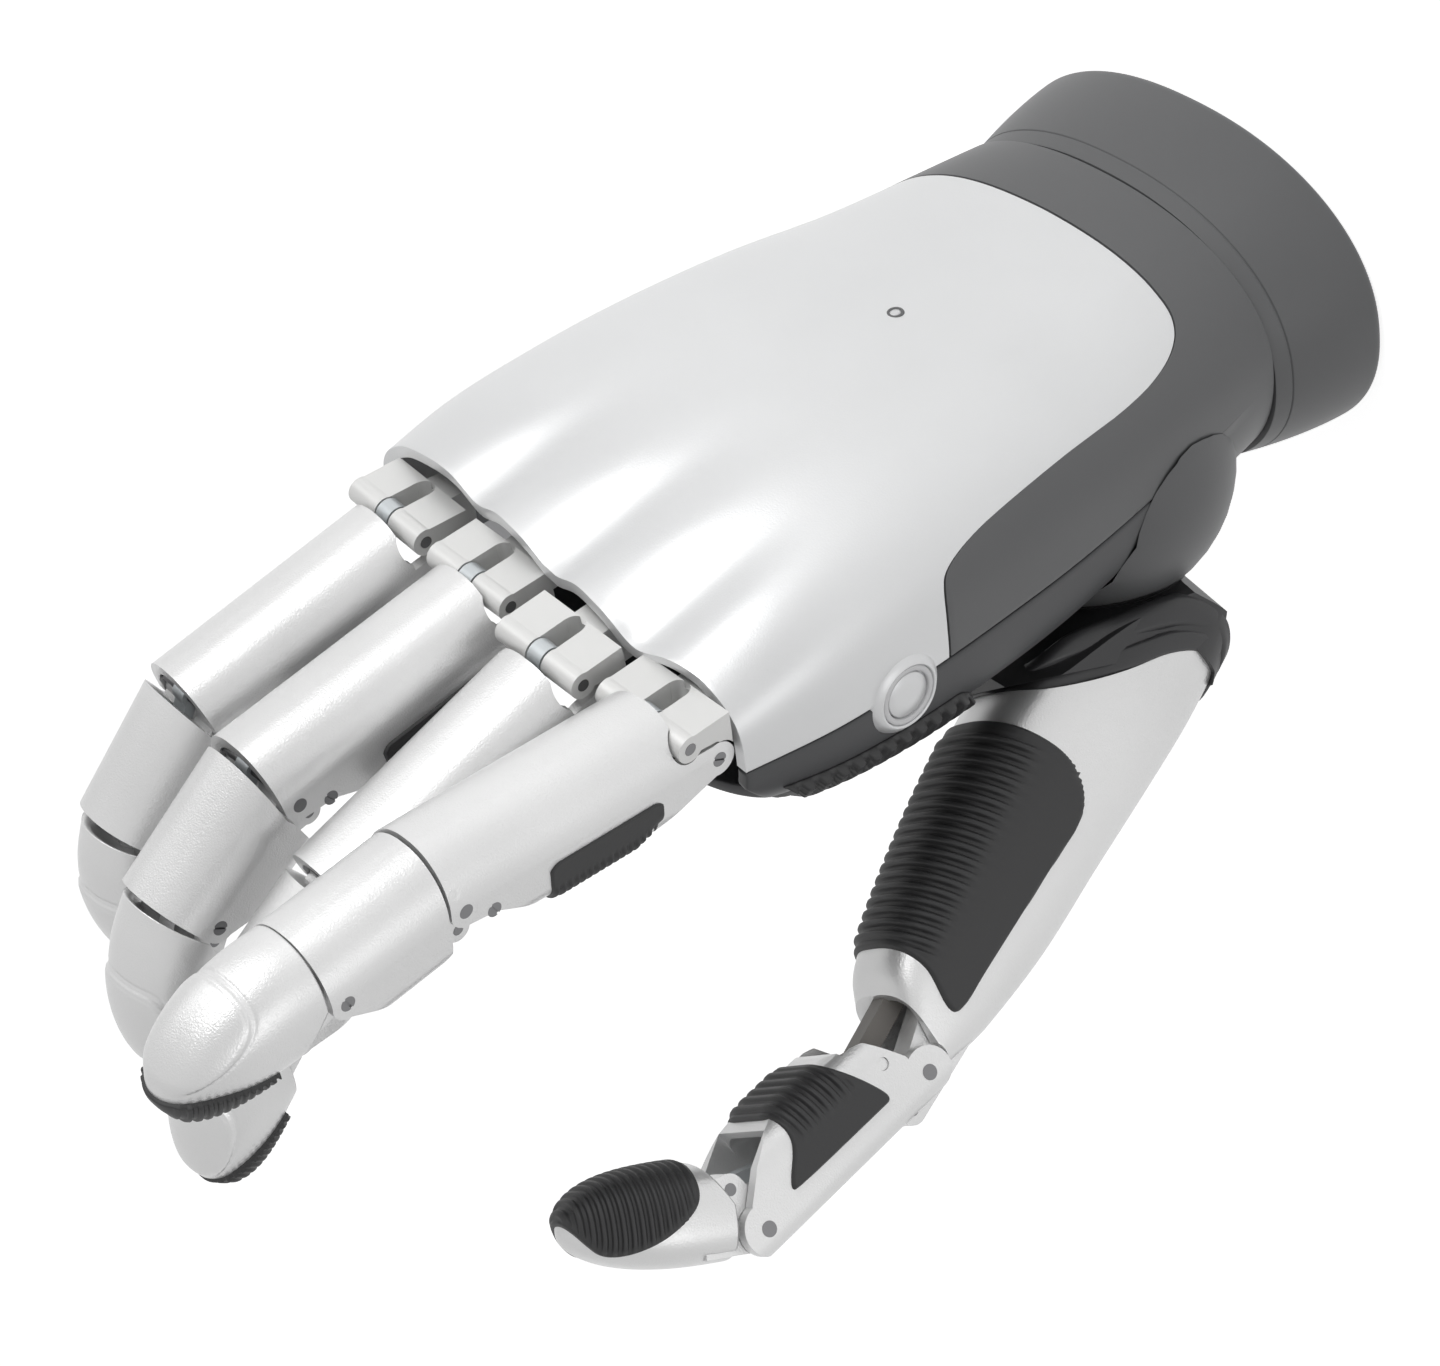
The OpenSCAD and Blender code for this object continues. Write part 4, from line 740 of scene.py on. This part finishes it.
# ---- Thumb links ---------------------------------------------------------------------
# First link with ears outside both of its joints, and a smooth thumb tip. Both carry ribbed rubber pads.
first_link = from_solid("thumb_proximal", "thumb_proximal_form", satin_alloy, "thumb_prox", .55, 4)
z = np.linspace(6.6, 27.5, 200)[:, None]
top = np.interp(z, [1.6, 5, 10, 20.5, 24.5, 29.5, 33.5], [4.2, 9.4, 11, 11, 10, 7.4, 4])
skin = trough(z, top, thumb_half, 5, 11, (50, 40, 30), 3.6)
flap = np.array([(15, 18), (11.5, 11), (7, 2.6), (7.2, .9), (9, .9), (26.4, 1), (27.6, 1.6), (26.8, 3),
                 (23.2, 6.4), (22.6, 10), (25, 18)])
inside = within(eased(flap), skin[..., 2], skin[..., 1])
rib = smooth(.15, .85, .5 + .5 * np.cos(2 * np.pi * skin[..., 2] / 1.75))
ribbed = smooth(.7, 1.8, inside) * smooth(5.2, 8.2, skin[..., 1])
height = -.3 + smooth(-.1, .6, inside) * (.95 + .6 * (rib - .4) * ribbed)
first_rubber = pad_of("thumb_proximal_rubber", carried(thumb_first, skin), height, inside > -.7, .5, pad_rubber,
                      "thumb_prox")
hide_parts("thumb_proximal_pad")
sets = [plates(ring(0, thumb_len, thumb_head_r), [(side * 2, side * 8.79)]) for side in (-1, 1)]
link_pins = pinned("thumb_link_pins", thumb_first, sets, dark_steel, "thumb_prox")

shape = dict(length=27.6, start=6, middle=(2.6, 3.6), half=(8.35, 2.4, .5), back=(6.4, 2.6, .55),
             pad=(7.8, 3.2, .52), squares=(2.7, 2.5), rim=lambda y: 4.4 + .55 * np.maximum(0, y - 4))
p = (1 - (1 - np.linspace(0, 1, 170)) ** 1.7)[:, None]
t = np.linspace(-np.pi / 2, 1.5 * np.pi, 200, endpoint=False)[None, :]
skin = carried(thumb_second, tip_skin(p, t, **shape))
tip = closed_tip("thumb_distal_form", skin, satin_alloy, "thumb_end")
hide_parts("thumb_distal")
outline = hull(np.concatenate([ring(0, 0, 3), ring(*tip_lug, 2.2), [[-3, 9], [7, 9]]]))
tip_cheeks = pinned("thumb_distal_cheeks", thumb_second, [plates(outline, both(cheek_w, tongue_in))],
                    satin_alloy, "thumb_end")
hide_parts("thumb_distal")
sets = [plates(ring(*tip_lug, pin_r), both(cheek_w, tongue_in + .04))]
tip_pin = pinned("thumb_tip_lug_pin", thumb_second, sets, dark_steel, "thumb_end")
t = np.linspace(-.9, np.pi + .9, 150)[None, :]
p = (1 - (1 - np.linspace(.03, 1, 220)) ** 1.7)[:, None]
skin = tip_skin(p, t, **shape)
tip_edge = np.array([(8.6, 16), (8.8, 7.5), (9.6, 4.6), (12.4, 2.2), (16, .2), (20, -.9), (23.4, -.6),
                     (25.6, 1.4), (27, 3.4), (28.4, 5.5), (32, 16)])
inside = within(eased(tip_edge), skin[..., 2], skin[..., 1])
rib = smooth(.15, .85, .5 + .5 * np.cos(2 * np.pi * skin[..., 2] / 1.22))
height = -.3 + smooth(-.1, .6, inside) * (.8 + .5 * (rib - .45) * smooth(.5, 1.3, inside))
tip_rubber = pad_of("thumb_tip_rubber", carried(thumb_second, skin), height, inside > -.7, .5, pad_rubber,
                    "thumb_end")
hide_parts("thumb_tip_pad")

# ---- Thumb root ----------------------------------------------------------------------
# Black moulded bracket that swivels on the rounded grey root cover. Its saddle grips the metacarpal's upper
# end along a curved seam, with a groove round its middle.
matt_black = finish_of("matt black bracket", (.028, .028, .03), (.036, .036, .038), 0, .42, .05, .3, .01)
for node, material, body, slot in (("thumb_swivel_bracket", matt_black, "thumb_base", "black_bracket"),
                                   ("thumb_root_cover", matt_grey, "root", "grey_casing")):
    piece = from_solid(node, node + "_form", material, body, .8, 5)
crown_rows = np.array([[0, -73.5, -21.4], [.1, -78.6, -20.6], [.2, -82, -17.6], [.35, -82, -11.8],
                       [.5, -80, -7], [.68, -73.4, .4], [.84, -67, 6.6], [1, -60.5, 9]])
# share of the way from the seam to the crown, and how far the saddle stands out there
saddle_rows = ((-.02, -1.5), (0, -.1), (.01, .2), (.06, .42), (.3, .45), (.36, .3), (.39, -.45), (.43, -.6),
               (.47, -.5), (.5, .1), (.56, .3), (.85, .1), (.95, -.7), (1, -2.2))
t = np.linspace(-np.pi / 2, 1.5 * np.pi, 240, endpoint=False)[None, :]
base = meta_skin(np.ones(t.shape), t)
f = (1 + np.sign(np.sin(t)) * np.abs(np.sin(t)) ** (2 / meta_rows[-1, 6])) / 2
low, high = [np.stack([curve(r, f, 2), curve(r, f, 1)], -1) for r in (seam_rows, crown_rows)]
# The corner that passes the palm when the thumb is turned in lies deeper
clear = 1.5 * (smooth(.45, .7, f) * smooth(0, 4, base[..., 0]))[..., None]
rows = []
for share, out in saddle_rows:
    row = base.copy()
    row[..., 1:] += (high - low) * share
    side = row - row.mean(1, keepdims=True)
    row += side / np.linalg.norm(side, axis=-1, keepdims=True) * (out - clear) * np.array([1, 1, .4])
    rows.append(row[0])
grid = np.array(rows)
grid = np.concatenate([grid[:1] * 0 + grid[0].mean(0), grid, grid[-1:] * 0 + grid[-1].mean(0)])
points = carried(meta, grid.transpose(1, 0, 2).reshape(-1, 3))
faces = grid_faces(t.size, len(grid), 0, True)
saddle = outward(merged(mesh_piece("thumb_saddle", points, faces, matt_black, "thumb_base")))
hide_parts("thumb_swivel_bracket")

# ---- Power button and status light ---------------------------------------------------
# Chamfered silver boss with a pale ring and a pressed cap, and a small ringed lens in the back shell.
pale_ring = finish_of("pale ring plastic", (.74, .74, .75), (.8, .8, .81), .1, .35, .03, .3, .005)


def on_casing(z, first, last, column, value):
    """Point of the casing at height z, between two turns, where x or y has the given value."""
    skin = palm(np.linspace(first, last, 600), z)
    skin = skin[np.argsort(skin[:, column])]
    return [np.interp(value, skin[:, column], skin[:, axis]) for axis in range(3)]


button_z, button_y = cuff_len + palm_len * edge_rows[-1, 1] + 8.9, 1.5
at_button = moved(*on_casing(button_z, 235, 300, 1, button_y)) @ turned("y", -90)
light_z, light_x = 64, -3.7
at_light = moved(*on_casing(light_z, -40, 40, 0, light_x)) @ turned("x", 90)
turned_pieces = [
    ("button_boss", at_button, silver_lacquer, "button_bezel", "root", "bezel",
     [(4.66, -3), (4.66, .75), (4.8, .95), (5, .95), (6.1, -.1), (6.35, -.6), (6.35, -3)]),
    ("button_ring", at_button, pale_ring, "button_bezel", "root", "bezel",
     [(3.72, -3), (3.72, .7), (3.82, .84), (4.4, .84), (4.56, .7), (4.56, -3)]),
    ("button_cap", at_button, silver_lacquer, "power_button", "button", "button_cap",
     [(0, -2.4), (3.5, -2.4), (3.5, .45), (3.36, .62), (1.5, .72), (0, .74)]),
    ("light_ring", at_light, matt_grey, "status_light", "root", "lens",
     [(.82, -1), (.82, .1), (.95, .16), (1.2, .14), (1.3, -.02), (1.3, -1)]),
    ("light_lens", at_light, pale_ring, "status_light", "root", "lens",
     [(0, -1), (.8, -1), (.8, .04), (.5, .1), (0, .12)])]
for name, matrix, material, node, body, slot, profile in turned_pieces:
    piece = lathe(profile, matrix, name, material, body)
    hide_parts(node)

# ---- Carried-over parts --------------------------------------------------------------
# Steel pins and links, the push rod, the bolted flange and frame, the plug, the motor cans and the board.
# They are small, plain or out of sight, and keep their packed form.
link_metal = finish_of("pale link steel", (.50, .53, .55), (.56, .59, .60), .6, .42, .04, .3, .006)
frame_metal = finish_of("anodised frame alloy", (.30, .30, .31), (.36, .36, .37), .7, .45, .05, .4, .01)
brown_polymer = finish_of("brown-grey polymer", (.20, .19, .175), (.24, .225, .21), 0, .5, .05, .3, .01)
board_green = finish_of("board lacquer", (.03, .12, .06), (.04, .15, .07), 0, .35, .05, .5, .01)
finish_by_ending = {"_pins": dark_steel, "_link": link_metal, "_rod": brown_polymer, "_board": board_green,
                    "_connector": matt_black}
for name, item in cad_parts.items():
    if item.hide_render:
        continue
    item.data.materials.clear()
    item.data.materials.append(finish_by_ending.get(name[name.rindex("_"):], frame_metal))

# ---- Floor, light and camera ---------------------------------------------------------
# White floor and surroundings, which light the hand only softly, with one key lamp from behind its back and two
# weaker ones from the thumb side and the little finger's side.
floor_mesh = bpy.data.meshes.new("floor")
floor_mesh.from_pydata([(-4, -4, -.0005), (4, -4, -.0005), (4, 4, -.0005), (-4, 4, -.0005)], [], [(0, 1, 2, 3)])
floor = bpy.data.objects.new("floor", floor_mesh)
bpy.context.scene.collection.objects.link(floor)
pale = bpy.data.materials.new("pale floor")
pale.use_nodes = True
tree = pale.node_tree
shader = tree.nodes["Principled BSDF"]
shader.inputs["Base Color"].default_value = (.9, .9, .9, 1)
shader.inputs["Roughness"].default_value = .9
shader.inputs["Emission Color"].default_value = (1, 1, 1, 1)


def seen_directly(tree):
    """1 for rays from the camera, from a mirror or through glass, 0 for the soft light that objects receive."""
    path = tree.nodes.new("ShaderNodeLightPath")
    clear, seen = tree.nodes.new("ShaderNodeMath"), tree.nodes.new("ShaderNodeMath")
    clear.operation = seen.operation = "MAXIMUM"
    link(tree, (path.outputs["Is Camera Ray"], clear.inputs[0]),
         (path.outputs["Is Transmission Ray"], clear.inputs[1]), (clear.outputs[0], seen.inputs[0]),
         (path.outputs["Is Glossy Ray"], seen.inputs[1]))
    return seen.outputs[0]


glow = tree.nodes.new("ShaderNodeMath")
glow.operation = "MULTIPLY"
glow.inputs[1].default_value = .8
link(tree, (seen_directly(tree), glow.inputs[0]), (glow.outputs[0], shader.inputs["Emission Strength"]))
floor_mesh.materials.append(pale)

world = bpy.data.worlds.new("studio")
bpy.context.scene.world = world
world.use_nodes = True
tree = world.node_tree
sky = tree.nodes["Background"]
sky.inputs["Color"].default_value = (1, 1, 1, 1)
strength = tree.nodes.new("ShaderNodeMapRange")
strength.inputs["To Min"].default_value, strength.inputs["To Max"].default_value = .27, 1
link(tree, (seen_directly(tree), strength.inputs["Value"]),
     (strength.outputs["Result"], sky.inputs["Strength"]))


def lamp(name, at, aim, size, watts):
    """Square soft light at a place, turned to its aim. Places and size are metres."""
    data = bpy.data.lights.new(name, "AREA")
    data.size, data.energy = size, watts
    lamp_object = bpy.data.objects.new(name, data)
    bpy.context.scene.collection.objects.link(lamp_object)
    lamp_object.location = at
    lamp_object.rotation_euler = (Vector(aim) - Vector(at)).to_track_quat("-Z", "Y").to_euler()


centre = (-.018, .004, .114)
lamp("key", (.10, -.75, .35), centre, .35, 2.3)
lamp("side", (-.9, -.15, .2), centre, .4, .85)
lamp("far", (.5, -.5, .4), centre, .3, .4)

view_from = np.array([-.4304, -.4204, .4163])
toward = np.array([-.620378, -.638895, .454804])
turn_x = np.array([-.657634, .10798, -.74556])
turn_y = np.cross(toward, turn_x)
camera = bpy.data.objects.new("camera", bpy.data.cameras.new("camera"))
bpy.context.scene.collection.objects.link(camera)
columns = np.column_stack([turn_x, turn_y, toward, view_from])
camera.matrix_world = Matrix(np.vstack([columns, [0, 0, 0, 1]]).tolist())
camera.data.sensor_width = 36
camera.data.lens = 119.99
bpy.context.scene.camera = camera
bpy.context.scene.view_settings.view_transform = "Standard"
